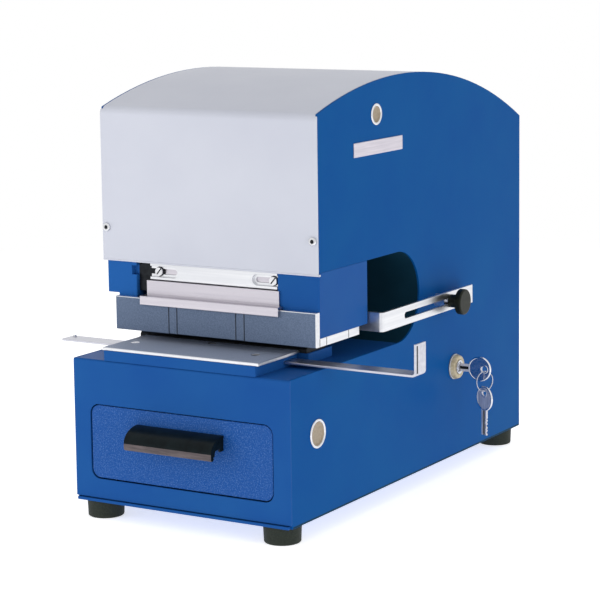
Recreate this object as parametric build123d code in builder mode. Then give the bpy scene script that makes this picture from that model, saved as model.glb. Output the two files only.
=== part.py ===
from build123d import *
import math
import os

# An electric pin perforator with a deep C-shaped body.
# Millimetres. X runs to the machine's right, Y to its back, Z up from the floor.
# Everything is drawn about the middle of the base; save() moves it into the
# part's own frame, whose origin is under the middle of the whole machine.

# Overall sizes
base_width = 220.0
base_depth = 440.0
base_top_z = 142.0
foot_height = 16.0
foot_diameter = 33.0
foot_side_inset = 19.0
foot_end_inset = 17.0
sheet = 2.0
running_gap = 0.3
fit_gap = 0.05

# Head
head_setback = 48.0
head_bottom_z = 224.0
arch_front_z = 356.5
arch_peak_setback = 225.0
arch_peak_z = 381.5
arch_back_z = 326.0
cover_bend_radius = 8.0
cover_front_lip = 2.4
throat_setback = 187.5
cheek_gap = 145.0
tool_centre_x = -3.5
cheek_depth = 82.0
cheek_bottom_z = 168.5
left_cheek_inset = 3.0
left_cheek_step_z = 193.0
cheek_tongue_height = 76.0
cheek_tongue_front_step = 5.0
cheek_tongue_back_step = 2.0
cheek_edge_rounding = 1.0

# Bottom plate, feet and their screws
bottom_plate_thickness = 2.5
bottom_plate_lip = 1.5
bottom_shadow_gap = 0.8
foot_screw_diameter = 4.0
foot_screw_head_diameter = 8.0
foot_screw_head_height = 3.0
foot_recess_depth = 8.0
foot_screw_bite = 5.0
foot_taper = 0.7
foot_edge_rounding = 1.5
rear_panel_top_gap = 0.5

# Inner frame
frame_plate_thickness = 10.0
frame_plate_clearance = 2.0
frame_front_setback = 60.0
frame_back_margin = 70.0
frame_top_z = 345.0
tie_rod_diameter = 12.0
tie_rod_inset = 30.0
tie_rod_low_z = 60.0
tie_rod_high_z = 300.0
tie_rod_front_inset = 130.0
tie_rod_front_z = 330.0
stiffener_clearance = 2.0
jaw_beam_height = 22.0
jaw_beam_front_reach = 18.0
jaw_beam_back_reach = 32.0
head_floor_thickness = 5.5

# Tool cassette
tool_plate_thickness = 6.0
tool_plate_top_z = 191.0
tool_left_overhang = 15.0
tool_bar_height = 7.0
front_bar_depth = 11.1
guide_plate_depth = 37.0
rear_bar_depth = 18.1
cassette_seam = 0.4
tool_groove_x = 34.5
tool_groove_spacing = 8.5
tool_groove_width = 1.2
tool_groove_depth = 0.8
tool_plate_chamfer = 0.6
pin_diameter = 2.0
pin_pitch = 8.0
pins_per_row = 14
pin_rows = 2
pin_field_setback = 80.0
pin_hole_gap = 0.1
pin_recess = 1.8
pin_socket_depth = 7.0
holder_height = 12.0
holder_bottom_z = 183.0
holder_width = 135.0
holder_depth = 34.0
pillar_x = 61.0
pillar_diameter = 8.0
spring_diameter = 12.6
spring_wire = 1.6
tool_screw_diameter = 5.0
tool_screw_head_diameter = 9.5
tool_screw_length = 19.0
tool_screw_sink = 0.3
tool_screw_head_gap = 0.4
tool_screw_socket_radius = 1.8
tool_screw_socket_depth = 2.5

# Die and paper table
paper_gap = 4.8
die_plate_height = 5.7
die_width = 172.0
die_front_gap = 1.0
die_depth = 32.0
die_front_chamfer = 2.5
die_block_side_margin = 2.0
die_block_back_margin = 8.0
chip_slot_width = 116.0
chip_slot_depth = 18.0
table_width = 159.0
table_depth = 66.0
table_thickness = 2.5
table_overhang = 2.5
table_screw_diameter = 4.0
table_screw_head_diameter = 8.0
table_screw_length = 5.5
table_screw_spacing = 124.0
table_screw_shift = -5.0
table_screw_back_distance = 34.0
table_middle_screw_back_distance = 7.0
table_screw_sink = 0.2
table_screw_slot_width = 0.9
table_screw_slot_depth = 1.6

# Side ruler
ruler_width = 17.5
ruler_thickness = 2.0
ruler_lift = 3.0
ruler_left_reach = 47.0
ruler_right_reach = 93.0
ruler_tab_height = 27.5
ruler_bend_radius = 4.0
ruler_back_gap = 3.5
ruler_pin_diameter = 3.5
ruler_pin_height = 1.5
ruler_pin_inset = 5.0

# Depth stop
stop_thickness = 3.0
stop_height = 17.0
stop_centre_z = 170.0
stop_gap_to_cheek = 2.0
stop_stand_off = 11.0
stop_arm_length = 174.0
stop_inner_reach = 184.0
stop_bend_radius = 4.0
stop_slot_height = 5.6
stop_slot_start = 40.0
stop_slot_length = 92.0
stud_diameter = 5.0
stud_boss_diameter = 12.0
stud_length = 13.0
knob_neck_diameter = 12.0
knob_neck_length = 9.5
knob_diameter = 23.5
knob_thickness = 6.0

# Lock bar, guard and the crossbar that carries them
bar_bottom_z = 207.0
bar_height = 14.5
bar_thickness = 4.0
bar_left_x = -62.0
bar_side_gap = 0.5
bar_slot_height = 9.4
left_slot_length = 29.2
right_slot_length = 25.0
left_screw_x = -53.0
right_screw_x = 64.0
bar_screw_diameter = 4.0
bar_screw_head_diameter = 7.4
bar_screw_head_height = 2.4
bar_slot_floor = 1.4
bar_slot_clearance = 0.3
bar_setback = 0.5
bar_chamfer = 0.4
bar_screw_slot_width = 1.1
bar_screw_slot_depth = 1.0
bar_screw_slot_turn = 40.0
bar_notch_width = 5.0
bar_notch_height = 8.0
bar_notch_depth = 5.0
crossbar_thickness = 5.0
crossbar_bottom_z = 196.0
guard_thickness = 2.0
guard_step_z = 193.5
guard_bottom_z = 185.5
guard_left_x = -64.0
guard_right_x = 71.5
guard_flare = 3.0
guard_lip_extra = 0.7
guard_top_gap = 0.5
guard_crossbar_gap = 0.2
guard_chamfer = 0.4

# Drive
shaft_setback = 84.0
shaft_z = 275.0
shaft_diameter = 16.0
stroke = 10.0
eccentric_radius = 14.0
eccentric_width = 36.0
yoke_clearance = 1.4
yoke_side_gap = 0.5
yoke_wall = 9.0
yoke_width = 44.0
beam_height = 26.0
bearing_diameter = 32.0
gear_module = 1.5
gear_width = 10.0
gear_x = 38.0
gear_side_gap = 1.0
drive_teeth = 36
idler_teeth = 25
pinion_teeth = 12
idler_axle_diameter = 10.0
idler_collar_rim = 2.5
idler_collar_length = 2.0
idler_collar_gap = 0.5
motor_diameter = 58.0
motor_length = 94.0
motor_edge_rounding = 3.0
motor_shaft_diameter = 8.0
motor_shaft_hidden_length = 22.0
shaft_end_gap = 1.0
motor_pilot_diameter = 20.0
motor_bracket_thickness = 5.0
motor_foot_thickness = 4.0
motor_foot_length = 90.0
bracket_front_reach = 18.0
bracket_back_reach = 32.0
bracket_top_reach = 36.0

# Chip drawer
drawer_front_margin = 17.5
drawer_front_height = 64.6
drawer_front_thickness = 3.0
drawer_front_centre_z = 69.7
drawer_front_recess = 0.8
drawer_front_gap = 0.9
drawer_corner_radius = 8.0
drawer_front_chamfer = 0.5
tray_wall = 1.2
tray_side_gap = 1.5
tray_height = 57.0
tray_depth = 176.0
tray_corner_radius = 3.0
tray_bottom_z = 41.0
handle_width = 89.0
handle_reach = 20.3
handle_top_z = 89.0
handle_bottom_z = 72.0
handle_wall = 2.5
runner_sheet = 2.0
runner_shelf = 18.0
runner_foot = 7.0
runner_front_gap = 30.0
runner_back_reach = 10.0
runner_web_rise = 12.0
runner_foot_gap = 0.5

# Key switch
lock_setback = 298.0
lock_z = 101.0
lock_flange_diameter = 24.0
lock_flange_thickness = 5.5
lock_barrel_diameter = 19.0
lock_barrel_length = 32.0
lock_cylinder_diameter = 13.0
lock_cylinder_proud = 0.4
lock_back_wall = 3.0
lock_edge_rounding = 2.0
key_blade_height = 7.0
key_thickness = 2.0
key_inserted_length = 25.0
key_slot_gap = 0.2
key_bow_diameter = 23.5
key_neck_length = 9.0
key_blade_overlap = 3.0
key_hole_diameter = 5.5
key_hole_offset = 5.0
key_ring_radius = 9.3
key_ring_wire = 1.5
key_ring_turn = 26.0
spare_blade_length = 23.0

# Plugs, name plate, cover screws
upper_plug_setback = 150.0
upper_plug_z = 349.5
upper_plug_diameter = 19.0
lower_plug_setback = 44.3
lower_plug_z = 88.8
lower_plug_diameter = 25.3
plug_flange = 1.0
plug_rim = 2.4
plug_wall = 0.9
name_plate_length = 86.8
name_plate_height = 12.4
name_plate_thickness = 1.0
name_plate_setback = 153.0
name_plate_z = 321.3
cover_screw_diameter = 4.0
cover_screw_head_diameter = 7.5
cover_screw_inset = 4.6
cover_screw_z = 251.0
cover_screw_head_height = 1.8
cover_screw_head_rounding = 1.2
cover_screw_length = 9.0
cover_lug_inner_reach = 9.0
cover_lug_outer_reach = 2.5
cover_lug_height = 10.0

# Electrics
board_width = 110.0
board_length = 120.0
board_thickness = 1.6
board_stand_off = 10.0
board_back_distance = 110.0
board_post_inset = 6.0
board_post_diameter = 6.0
transformer_size = (28.0, 30.0, 26.0)
transformer_place = (-26.0, -25.0)
relay_size = (29.0, 16.0, 16.0)
relay_place = (19.5, -30.0)
terminal_strip_size = (70.0, 10.0, 12.0)
terminal_strip_place = (0.0, 45.0)
capacitor_diameter = 14.0
capacitor_height = 22.0
capacitor_pitch = 25.0
capacitor_back_distance = 15.0
inlet_x = -55.0
inlet_z = 70.0
inlet_width = 27.5
inlet_height = 20.0
inlet_depth = 18.0
inlet_flange = 3.0
inlet_flange_side = 6.0
inlet_flange_rise = 3.0
inlet_wall = 1.75
inlet_floor = 4.0
inlet_contact_width = 2.0
inlet_contact_height = 4.0
inlet_contact_places = ((-7.0, -2.0), (7.0, -2.0), (0.0, 3.0))

# Worked-out places
half_width = base_width / 2
panel_inner_x = half_width - sheet
front_y = -base_depth / 2
back_y = base_depth / 2
cover_front_y = front_y + head_setback
arch_peak_y = front_y + arch_peak_setback
pin_field_y = front_y + pin_field_setback
shaft_y = front_y + shaft_setback
lock_y = front_y + lock_setback
upper_plug_y = front_y + upper_plug_setback
lower_plug_y = front_y + lower_plug_setback
name_plate_y = front_y + name_plate_setback
frame_front_y = front_y + frame_front_setback
frame_back_y = back_y - frame_back_margin
board_centre_y = back_y - board_back_distance
cheek_front_y = cover_front_y + sheet
cheek_back_y = cheek_front_y + cheek_depth
right_cheek_inner_x = tool_centre_x + cheek_gap / 2
left_cheek_inner_x = tool_centre_x - cheek_gap / 2
left_cheek_x = -half_width + left_cheek_inset
base_bottom_z = foot_height
floor_z = base_bottom_z + bottom_plate_thickness
frame_outer_x = panel_inner_x - frame_plate_clearance
frame_inner_x = frame_outer_x - frame_plate_thickness
throat_radius = (head_bottom_z - base_top_z) / 2
throat_centre_z = (head_bottom_z + base_top_z) / 2
throat_centre_y = front_y + throat_setback
tool_bottom_z = cheek_bottom_z - tool_bar_height
tool_front_y = cheek_front_y - tool_plate_thickness
tool_left_x = -half_width + tool_left_overhang
guide_front_y = cheek_front_y + front_bar_depth + cassette_seam
guide_back_y = guide_front_y + guide_plate_depth
rear_bar_y = guide_back_y + cassette_seam
paper_z = tool_bottom_z - paper_gap
die_block_top_z = paper_z - die_plate_height
table_back_y = front_y + 1.0 + table_depth
die_front_y = table_back_y + die_front_gap
support_height = die_block_top_z - base_top_z
table_support_width = table_width - 2 * table_overhang
ruler_back_y = table_back_y - ruler_back_gap
ruler_bottom_z = base_top_z + ruler_lift
ruler_left_x = -half_width - ruler_left_reach
ruler_right_x = half_width + ruler_right_reach
drawer_front_width = base_width - 2 * drawer_front_margin
runner_web_x = frame_inner_x - runner_foot
foot_x = half_width - foot_side_inset
foot_y = base_depth / 2 - foot_end_inset
holder_top_z = holder_bottom_z + holder_height
spring_bottom_z = cheek_bottom_z
motor_y = shaft_y + gear_module * (drive_teeth + 2 * idler_teeth + pinion_teeth) / 2
idler_y = shaft_y + gear_module * (drive_teeth + idler_teeth) / 2
stop_front_y = cheek_back_y + stop_gap_to_cheek
stop_inner_x = half_width + stop_stand_off
stop_outer_x = stop_inner_x + stop_thickness
stud_y = stop_front_y + stop_slot_start + stop_slot_length - stop_slot_height / 2 - 1.0
key_bow_x = half_width + lock_flange_thickness + key_neck_length + key_bow_diameter / 2
key_hole_x = key_bow_x + key_hole_offset
spare_hole_drop = key_hole_diameter / 2 - key_ring_wire / 2 - 0.1
ring_centre_z = lock_z - spare_hole_drop - key_ring_radius
spare_hole_z = ring_centre_z - key_ring_radius - spare_hole_drop
handle_front_y = front_y + drawer_front_recess - handle_reach
machine_centre_x = (ruler_right_x + ruler_left_x) / 2
machine_centre_y = (back_y + inlet_flange + handle_front_y) / 2

os.makedirs("parts", exist_ok=True)


def save(piece, name):
    placed = piece.moved(Location((-machine_centre_x, -machine_centre_y, 0)))
    placed.label = name
    export_step(placed, f"parts/{name}.step")


def block(x, y, z, mode=Mode.ADD):
    """A box between two values on each axis."""
    with Locations((sum(x) / 2, sum(y) / 2, sum(z) / 2)):
        Box(abs(x[1] - x[0]), abs(y[1] - y[0]), abs(z[1] - z[0]), mode=mode)


def rod(radius, start, length, axis, mode=Mode.ADD):
    """A cylinder that starts at a point and runs along +X, +Y or +Z."""
    turns = {"X": (0, 90, 0), "Y": (-90, 0, 0), "Z": (0, 0, 0)}
    with Locations(Location(start, turns[axis])):
        Cylinder(radius, length, align=(Align.CENTER, Align.CENTER, Align.MIN), mode=mode)


def circle_centre(first, second, third):
    """Centre of the circle through three points, for the arch of the head."""
    (ax, ay), (bx, by), (cx, cy) = first, second, third
    twice_area = 2 * (ax * (by - cy) + bx * (cy - ay) + cx * (ay - by))
    a, b, c = ax * ax + ay * ay, bx * bx + by * by, cx * cx + cy * cy
    x = (a * (by - cy) + b * (cy - ay) + c * (ay - by)) / twice_area
    y = (a * (cx - bx) + b * (ax - cx) + c * (bx - ax)) / twice_area
    return x, y


arch_start = (cover_front_y, arch_front_z)
arch_peak = (arch_peak_y, arch_peak_z)
arch_end = (back_y, arch_back_z)
arch_y, arch_z = circle_centre(arch_start, arch_peak, arch_end)
arch_radius = math.dist((arch_y, arch_z), arch_peak)


def arch_point(y, inset=0.0):
    return y, arch_z + math.sqrt((arch_radius - inset) ** 2 - (y - arch_y) ** 2)


def arch_line(start_y, end_y, inset=0.0):
    middle_y = (start_y + end_y) / 2
    ThreePointArc(arch_point(start_y, inset), arch_point(middle_y, inset), arch_point(end_y, inset))


def throat_line(radius, start_angle, turn):
    CenterArc((throat_centre_y, throat_centre_z), radius, start_angle, turn)


# ---------------------------------------------------------------- base
with BuildPart() as bottom_plate:
    block((-panel_inner_x, panel_inner_x), (front_y - bottom_plate_lip, back_y - sheet),
          (base_bottom_z, floor_z))
    with Locations((0, 0, floor_z)):
        with GridLocations(2 * foot_x, 2 * foot_y, 2, 2):
            Hole(foot_screw_diameter / 2 + pin_hole_gap)
save(bottom_plate.part, "bottom_plate")

with BuildPart() as feet:
    with GridLocations(2 * foot_x, 2 * foot_y, 2, 2):
        Cone(foot_diameter / 2 - foot_taper, foot_diameter / 2, foot_height,
             align=(Align.CENTER, Align.CENTER, Align.MIN))
    fillet(feet.edges().group_by(Axis.Z)[0], foot_edge_rounding)
    with GridLocations(2 * foot_x, 2 * foot_y, 2, 2):
        Cylinder(foot_screw_head_diameter / 2 + 0.5, foot_recess_depth,
                 align=(Align.CENTER, Align.CENTER, Align.MIN), mode=Mode.SUBTRACT)
        Cylinder(foot_screw_diameter / 2 + pin_hole_gap, foot_height,
                 align=(Align.CENTER, Align.CENTER, Align.MIN), mode=Mode.SUBTRACT)
save(feet.part, "feet")

with BuildPart() as foot_screws:
    with Locations((0, 0, foot_recess_depth - foot_screw_head_height)):
        with GridLocations(2 * foot_x, 2 * foot_y, 2, 2):
            Cylinder(foot_screw_head_diameter / 2, foot_screw_head_height,
                     align=(Align.CENTER, Align.CENTER, Align.MIN))
    with Locations((0, 0, foot_recess_depth)):
        with GridLocations(2 * foot_x, 2 * foot_y, 2, 2):
            Cylinder(foot_screw_diameter / 2, floor_z + foot_screw_bite - foot_recess_depth,
                     align=(Align.CENTER, Align.CENTER, Align.MIN))
save(foot_screws.part, "foot_screws")

opening_width = drawer_front_width + 2 * drawer_front_gap
opening_height = drawer_front_height + 2 * drawer_front_gap
front_panel_bottom_z = floor_z + bottom_shadow_gap

# Front and top of the base, bent from one sheet; the front laps over the side panels.
with BuildPart() as base_cover:
    with BuildSketch(Plane.YZ) as base_section:
        with BuildLine():
            Polyline(
                (front_y, front_panel_bottom_z),
                (front_y, base_top_z),
                (throat_centre_y, base_top_z),
                (throat_centre_y, base_top_z - sheet),
                (front_y + sheet, base_top_z - sheet),
                (front_y + sheet, front_panel_bottom_z),
                close=True,
            )
        make_face()
        corner = base_section.vertices().sort_by_distance((front_y, base_top_z))[0]
        fillet(corner, sheet)
    extrude(amount=half_width, both=True)
    for side in (-1, 1):
        block((side * panel_inner_x, side * (half_width + 1)), (front_y + sheet, 0),
              (floor_z, base_top_z + 1), mode=Mode.SUBTRACT)
    with BuildSketch(Plane.XZ.offset(-front_y)):
        with Locations((0, drawer_front_centre_z)):
            RectangleRounded(opening_width, opening_height, drawer_corner_radius + drawer_front_gap)
    extrude(amount=-sheet, mode=Mode.SUBTRACT)
    block((-chip_slot_width / 2, chip_slot_width / 2),
          (pin_field_y - chip_slot_depth / 2, pin_field_y + chip_slot_depth / 2),
          (base_top_z - sheet, base_top_z), mode=Mode.SUBTRACT)
save(base_cover.part, "base_cover")


def side_panel(plane, holes):
    """One C-shaped side panel, with round holes given as (y, z, diameter)."""
    with BuildPart() as panel:
        with BuildSketch(plane):
            with BuildLine():
                Polyline(
                    (throat_centre_y, base_top_z),
                    (front_y + sheet, base_top_z),
                    (front_y + sheet, base_bottom_z),
                    (back_y, base_bottom_z),
                    (back_y, arch_back_z),
                )
                arch_line(back_y, cheek_front_y)
                Polyline(
                    arch_point(cheek_front_y),
                    (cheek_front_y, head_bottom_z),
                    (throat_centre_y, head_bottom_z),
                )
                throat_line(throat_radius, 90, -180)
            make_face()
            for y, z, diameter in holes:
                with Locations((y, z)):
                    Circle(diameter / 2, mode=Mode.SUBTRACT)
        extrude(amount=sheet)
    return panel.part


right_holes = [
    (upper_plug_y, upper_plug_z, upper_plug_diameter - 2 * plug_rim),
    (lower_plug_y, lower_plug_z, lower_plug_diameter - 2 * plug_rim),
    (lock_y, lock_z, lock_barrel_diameter + 2 * pin_hole_gap),
    (stud_y, stop_centre_z, stud_diameter + 2 * pin_hole_gap),
]
save(side_panel(Plane.YZ.offset(panel_inner_x), right_holes), "right_side_panel")
save(side_panel(Plane.YZ.offset(-half_width), []), "left_side_panel")

with BuildPart() as rear_panel:
    block((-panel_inner_x, panel_inner_x), (back_y - sheet, back_y),
          (base_bottom_z, arch_back_z - sheet - rear_panel_top_gap))
    block((inlet_x - inlet_width / 2 - pin_hole_gap, inlet_x + inlet_width / 2 + pin_hole_gap),
          (back_y - sheet, back_y),
          (inlet_z - inlet_height / 2 - pin_hole_gap, inlet_z + inlet_height / 2 + pin_hole_gap),
          mode=Mode.SUBTRACT)
save(rear_panel.part, "rear_panel")

# Inlet with a flange outside the rear panel, an open socket and three flat contacts.
with BuildPart() as power_inlet:
    block((inlet_x - inlet_width / 2, inlet_x + inlet_width / 2), (back_y - inlet_depth, back_y),
          (inlet_z - inlet_height / 2, inlet_z + inlet_height / 2))
    flange_half_width = inlet_width / 2 + inlet_flange_side
    flange_half_height = inlet_height / 2 + inlet_flange_rise
    block((inlet_x - flange_half_width, inlet_x + flange_half_width),
          (back_y, back_y + inlet_flange),
          (inlet_z - flange_half_height, inlet_z + flange_half_height))
    with BuildSketch(Plane.XZ.offset(-back_y - inlet_flange)):
        with Locations((inlet_x, inlet_z)):
            Rectangle(inlet_width - 2 * inlet_wall, inlet_height - 2 * inlet_wall)
    extrude(amount=inlet_depth + inlet_flange - inlet_floor, mode=Mode.SUBTRACT)
    for dx, dz in inlet_contact_places:
        contact_x = inlet_x + dx
        contact_z = inlet_z + dz
        block((contact_x - inlet_contact_width / 2, contact_x + inlet_contact_width / 2),
              (back_y - inlet_depth + inlet_floor - 1, back_y - 1),
              (contact_z - inlet_contact_height / 2, contact_z + inlet_contact_height / 2))
save(power_inlet.part, "power_inlet")

# ---------------------------------------------------------------- head skins


def cover_region(inset, drop, bend_radius):
    """Region under the arched cover, inset from its outer face."""
    start_y = cover_front_y + inset
    start = arch_point(start_y, inset)
    end = arch_point(back_y + drop, inset)
    with BuildSketch(Plane.YZ) as region:
        with BuildLine():
            Line((start_y, head_bottom_z - drop), start)
            arch_line(start_y, back_y + drop, inset)
            Polyline(end, (end[0], head_bottom_z - drop), (start_y, head_bottom_z - drop))
        make_face()
        fillet(region.vertices().sort_by_distance(start)[0], bend_radius)
    return region.sketch


with BuildPart() as front_cover:
    extrude(cover_region(0, 0, cover_bend_radius), amount=half_width, both=True)
    block((-half_width, half_width), (cover_front_y, cheek_front_y),
          (head_bottom_z - cover_front_lip, head_bottom_z))
    inner_region = cover_region(sheet, 1.0, cover_bend_radius - sheet)
    extrude(inner_region, amount=half_width + 1, both=True, mode=Mode.SUBTRACT)
    for side in (-1, 1):
        block((side * panel_inner_x, side * (half_width + 1)), (cheek_front_y - 0.5, back_y + 1),
              (head_bottom_z - 1, arch_peak_z + 1), mode=Mode.SUBTRACT)
    with BuildSketch(Plane.XZ.offset(-cover_front_y)):
        with Locations((0, cover_screw_z)):
            with GridLocations(2 * (half_width - cover_screw_inset), 1, 2, 1):
                Circle(cover_screw_diameter / 2 + pin_hole_gap)
    extrude(amount=-sheet, mode=Mode.SUBTRACT)
save(front_cover.part, "front_cover")

# The cover's two screws run into small lugs on the frame plates.
with BuildPart() as cover_screws:
    with BuildSketch(Plane.XZ.offset(-cover_front_y)):
        with Locations((0, cover_screw_z)):
            with GridLocations(2 * (half_width - cover_screw_inset), 1, 2, 1):
                Circle(cover_screw_head_diameter / 2)
    extrude(amount=cover_screw_head_height)
    head_rims = cover_screws.faces().filter_by(Axis.Y).group_by(Axis.Y)[0].edges()
    fillet(head_rims, cover_screw_head_rounding)
    with BuildSketch(Plane.XZ.offset(-cover_front_y)):
        with Locations((0, cover_screw_z)):
            with GridLocations(2 * (half_width - cover_screw_inset), 1, 2, 1):
                Circle(cover_screw_diameter / 2)
    extrude(amount=-cover_screw_length)
save(cover_screws.part, "cover_screws")

# Curved skin round the throat, from behind the cheeks down to the base top.
liner_thickness = 1.5
with BuildPart() as throat_liner:
    with BuildSketch(Plane.YZ):
        with BuildLine():
            outer_radius = throat_radius + liner_thickness
            Polyline(
                (throat_centre_y, throat_centre_z + outer_radius),
                (cheek_back_y, throat_centre_z + outer_radius),
                (cheek_back_y, head_bottom_z),
                (throat_centre_y, head_bottom_z),
            )
            throat_line(throat_radius, 90, -180)
            Line((throat_centre_y, base_top_z), (throat_centre_y, throat_centre_z - outer_radius))
            throat_line(outer_radius, -90, 180)
        make_face()
    extrude(amount=panel_inner_x, both=True)
save(throat_liner.part, "throat_liner")

with BuildPart() as name_plate:
    with BuildSketch(Plane.YZ.offset(half_width)):
        with Locations((name_plate_y, name_plate_z)):
            Rectangle(name_plate_length, name_plate_height)
    extrude(amount=name_plate_thickness)
    chamfer(name_plate.faces().sort_by(Axis.X)[-1].edges(), 0.3)
save(name_plate.part, "name_plate")

# Snap-in plugs with a raised rim and a dished centre.
with BuildPart() as side_plugs:
    for y, z, diameter in (
        (upper_plug_y, upper_plug_z, upper_plug_diameter),
        (lower_plug_y, lower_plug_z, lower_plug_diameter),
    ):
        rod(diameter / 2, (half_width, y, z), plug_flange, "X")
        stem_radius = diameter / 2 - plug_rim - pin_hole_gap
        rod(stem_radius, (panel_inner_x - 1, y, z), sheet + 1 + plug_flange, "X")
        rod(stem_radius - plug_wall, (half_width - 1, y, z), plug_flange + 2, "X", mode=Mode.SUBTRACT)
save(side_plugs.part, "side_plugs")

# ---------------------------------------------------------------- inner frame
stud_hole = stud_diameter / 2 + pin_hole_gap
lock_nut_space = lock_barrel_diameter / 2 + 4.0
tie_rod_places = (
    (frame_back_y - tie_rod_inset, tie_rod_low_z),
    (frame_back_y - tie_rod_inset, tie_rod_high_z),
    (frame_back_y - tie_rod_front_inset, tie_rod_front_z),
)


def frame_plate(plane, right):
    """Thick C-shaped plate that carries the punching load round the throat."""
    throat_clear = throat_radius + liner_thickness + stiffener_clearance
    with BuildPart() as plate:
        with BuildSketch(plane):
            with BuildLine():
                Polyline(
                    (throat_centre_y, throat_centre_z - throat_clear),
                    (frame_front_y, throat_centre_z - throat_clear),
                    (frame_front_y, floor_z),
                    (frame_back_y, floor_z),
                    (frame_back_y, frame_top_z),
                    (frame_front_y, frame_top_z),
                    (frame_front_y, throat_centre_z + throat_clear),
                    (throat_centre_y, throat_centre_z + throat_clear),
                )
                throat_line(throat_clear, 90, -180)
            make_face()
            with Locations((shaft_y, shaft_z)):
                Circle(bearing_diameter / 2, mode=Mode.SUBTRACT)
            if right:
                with Locations((lock_y, lock_z)):
                    Circle(lock_nut_space, mode=Mode.SUBTRACT)
                with Locations((stud_y, stop_centre_z)):
                    Circle(stud_hole, mode=Mode.SUBTRACT)
        extrude(amount=frame_plate_thickness)
        # lug for the cover screw
        side = 1 if right else -1
        screw_x = side * (half_width - cover_screw_inset)
        block((screw_x - side * cover_lug_inner_reach, screw_x + side * cover_lug_outer_reach),
              (cheek_front_y, frame_front_y),
              (cover_screw_z - cover_lug_height / 2, cover_screw_z + cover_lug_height / 2))
        rod(cover_screw_diameter / 2 + pin_hole_gap, (screw_x, cheek_front_y - 1, cover_screw_z),
            cover_screw_length, "Y", mode=Mode.SUBTRACT)
    return plate.part


with BuildPart() as frame_plates:
    add(frame_plate(Plane.YZ.offset(frame_inner_x), True))
    add(frame_plate(Plane.YZ.offset(-frame_outer_x), False))
save(frame_plates.part, "frame_plates")

with BuildPart() as tie_rods:
    for y, z in tie_rod_places:
        rod(tie_rod_diameter / 2, (-frame_inner_x, y, z), 2 * frame_inner_x, "X")
save(tie_rods.part, "tie_rods")

with BuildPart() as lower_jaw_beam:
    beam_top_z = base_top_z - sheet
    block((-frame_inner_x, frame_inner_x),
          (pin_field_y - jaw_beam_front_reach, pin_field_y + jaw_beam_back_reach),
          (beam_top_z - jaw_beam_height, beam_top_z))
    block((-chip_slot_width / 2, chip_slot_width / 2),
          (pin_field_y - chip_slot_depth / 2, pin_field_y + chip_slot_depth / 2),
          (beam_top_z - jaw_beam_height, beam_top_z), mode=Mode.SUBTRACT)
save(lower_jaw_beam.part, "lower_jaw_beam")

head_floor_z = head_bottom_z + liner_thickness
with BuildPart() as head_floor_plate:
    block((-frame_inner_x, frame_inner_x), (cheek_back_y, throat_centre_y),
          (head_floor_z, head_floor_z + head_floor_thickness))
save(head_floor_plate.part, "head_floor_plate")

# ---------------------------------------------------------------- cheeks
bar_front_y = cheek_front_y + bar_setback
crossbar_front_y = bar_front_y + bar_thickness
tool_screw_ys = (cheek_front_y + front_bar_depth / 2, rear_bar_y + rear_bar_depth / 2)
tool_screw_xs = (-82.0, 85.0)


def cheek(outer_x, inner_x, screw_x):
    """Cheek block under the head with a tongue that bolts inside the frame plate."""
    side = 1 if outer_x > 0 else -1
    with BuildPart() as piece:
        block((inner_x, outer_x), (cheek_front_y, cheek_back_y), (cheek_bottom_z, head_bottom_z))
        front_edges = piece.edges().filter_by(Axis.Z).group_by(Axis.Y)[0]
        fillet(front_edges, cheek_edge_rounding)
        block((inner_x, side * frame_inner_x),
              (cheek_front_y + cheek_tongue_front_step, cheek_back_y - cheek_tongue_back_step),
              (head_bottom_z, head_bottom_z + cheek_tongue_height))
        rod(shaft_diameter / 2 + 2, (min(inner_x, side * frame_inner_x), shaft_y, shaft_z),
            abs(inner_x - side * frame_inner_x), "X", mode=Mode.SUBTRACT)
        for y in tool_screw_ys:
            rod(tool_screw_diameter / 2 + pin_hole_gap, (screw_x, y, cheek_bottom_z),
                tool_screw_length - tool_bar_height + 2, "Z", mode=Mode.SUBTRACT)
    return piece.part


bar_centre_z = bar_bottom_z + bar_height / 2
save(cheek(half_width, right_cheek_inner_x, tool_screw_xs[1]), "right_cheek")
with BuildPart() as left_cheek:
    add(cheek(left_cheek_x, left_cheek_inner_x, tool_screw_xs[0]))
    block((left_cheek_inner_x - bar_notch_width, left_cheek_inner_x),
          (cheek_front_y, cheek_front_y + bar_notch_depth),
          (bar_centre_z - bar_notch_height / 2, bar_centre_z + bar_notch_height / 2), mode=Mode.SUBTRACT)
    # beside the tool its outer part stops above the tool plate
    block((left_cheek_x, tool_left_x), (cheek_front_y, cheek_back_y),
          (cheek_bottom_z, left_cheek_step_z), mode=Mode.SUBTRACT)
save(left_cheek.part, "left_cheek")

crossbar_top_z = bar_bottom_z + bar_height
screw_hole = bar_screw_diameter / 2 + pin_hole_gap
with BuildPart() as front_crossbar:
    block((left_cheek_inner_x, right_cheek_inner_x),
          (crossbar_front_y, crossbar_front_y + crossbar_thickness),
          (crossbar_bottom_z, crossbar_top_z))
    for x in (left_screw_x, right_screw_x):
        rod(screw_hole, (x, crossbar_front_y - 1, bar_centre_z), crossbar_thickness + 2, "Y",
            mode=Mode.SUBTRACT)
save(front_crossbar.part, "front_crossbar")

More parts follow.
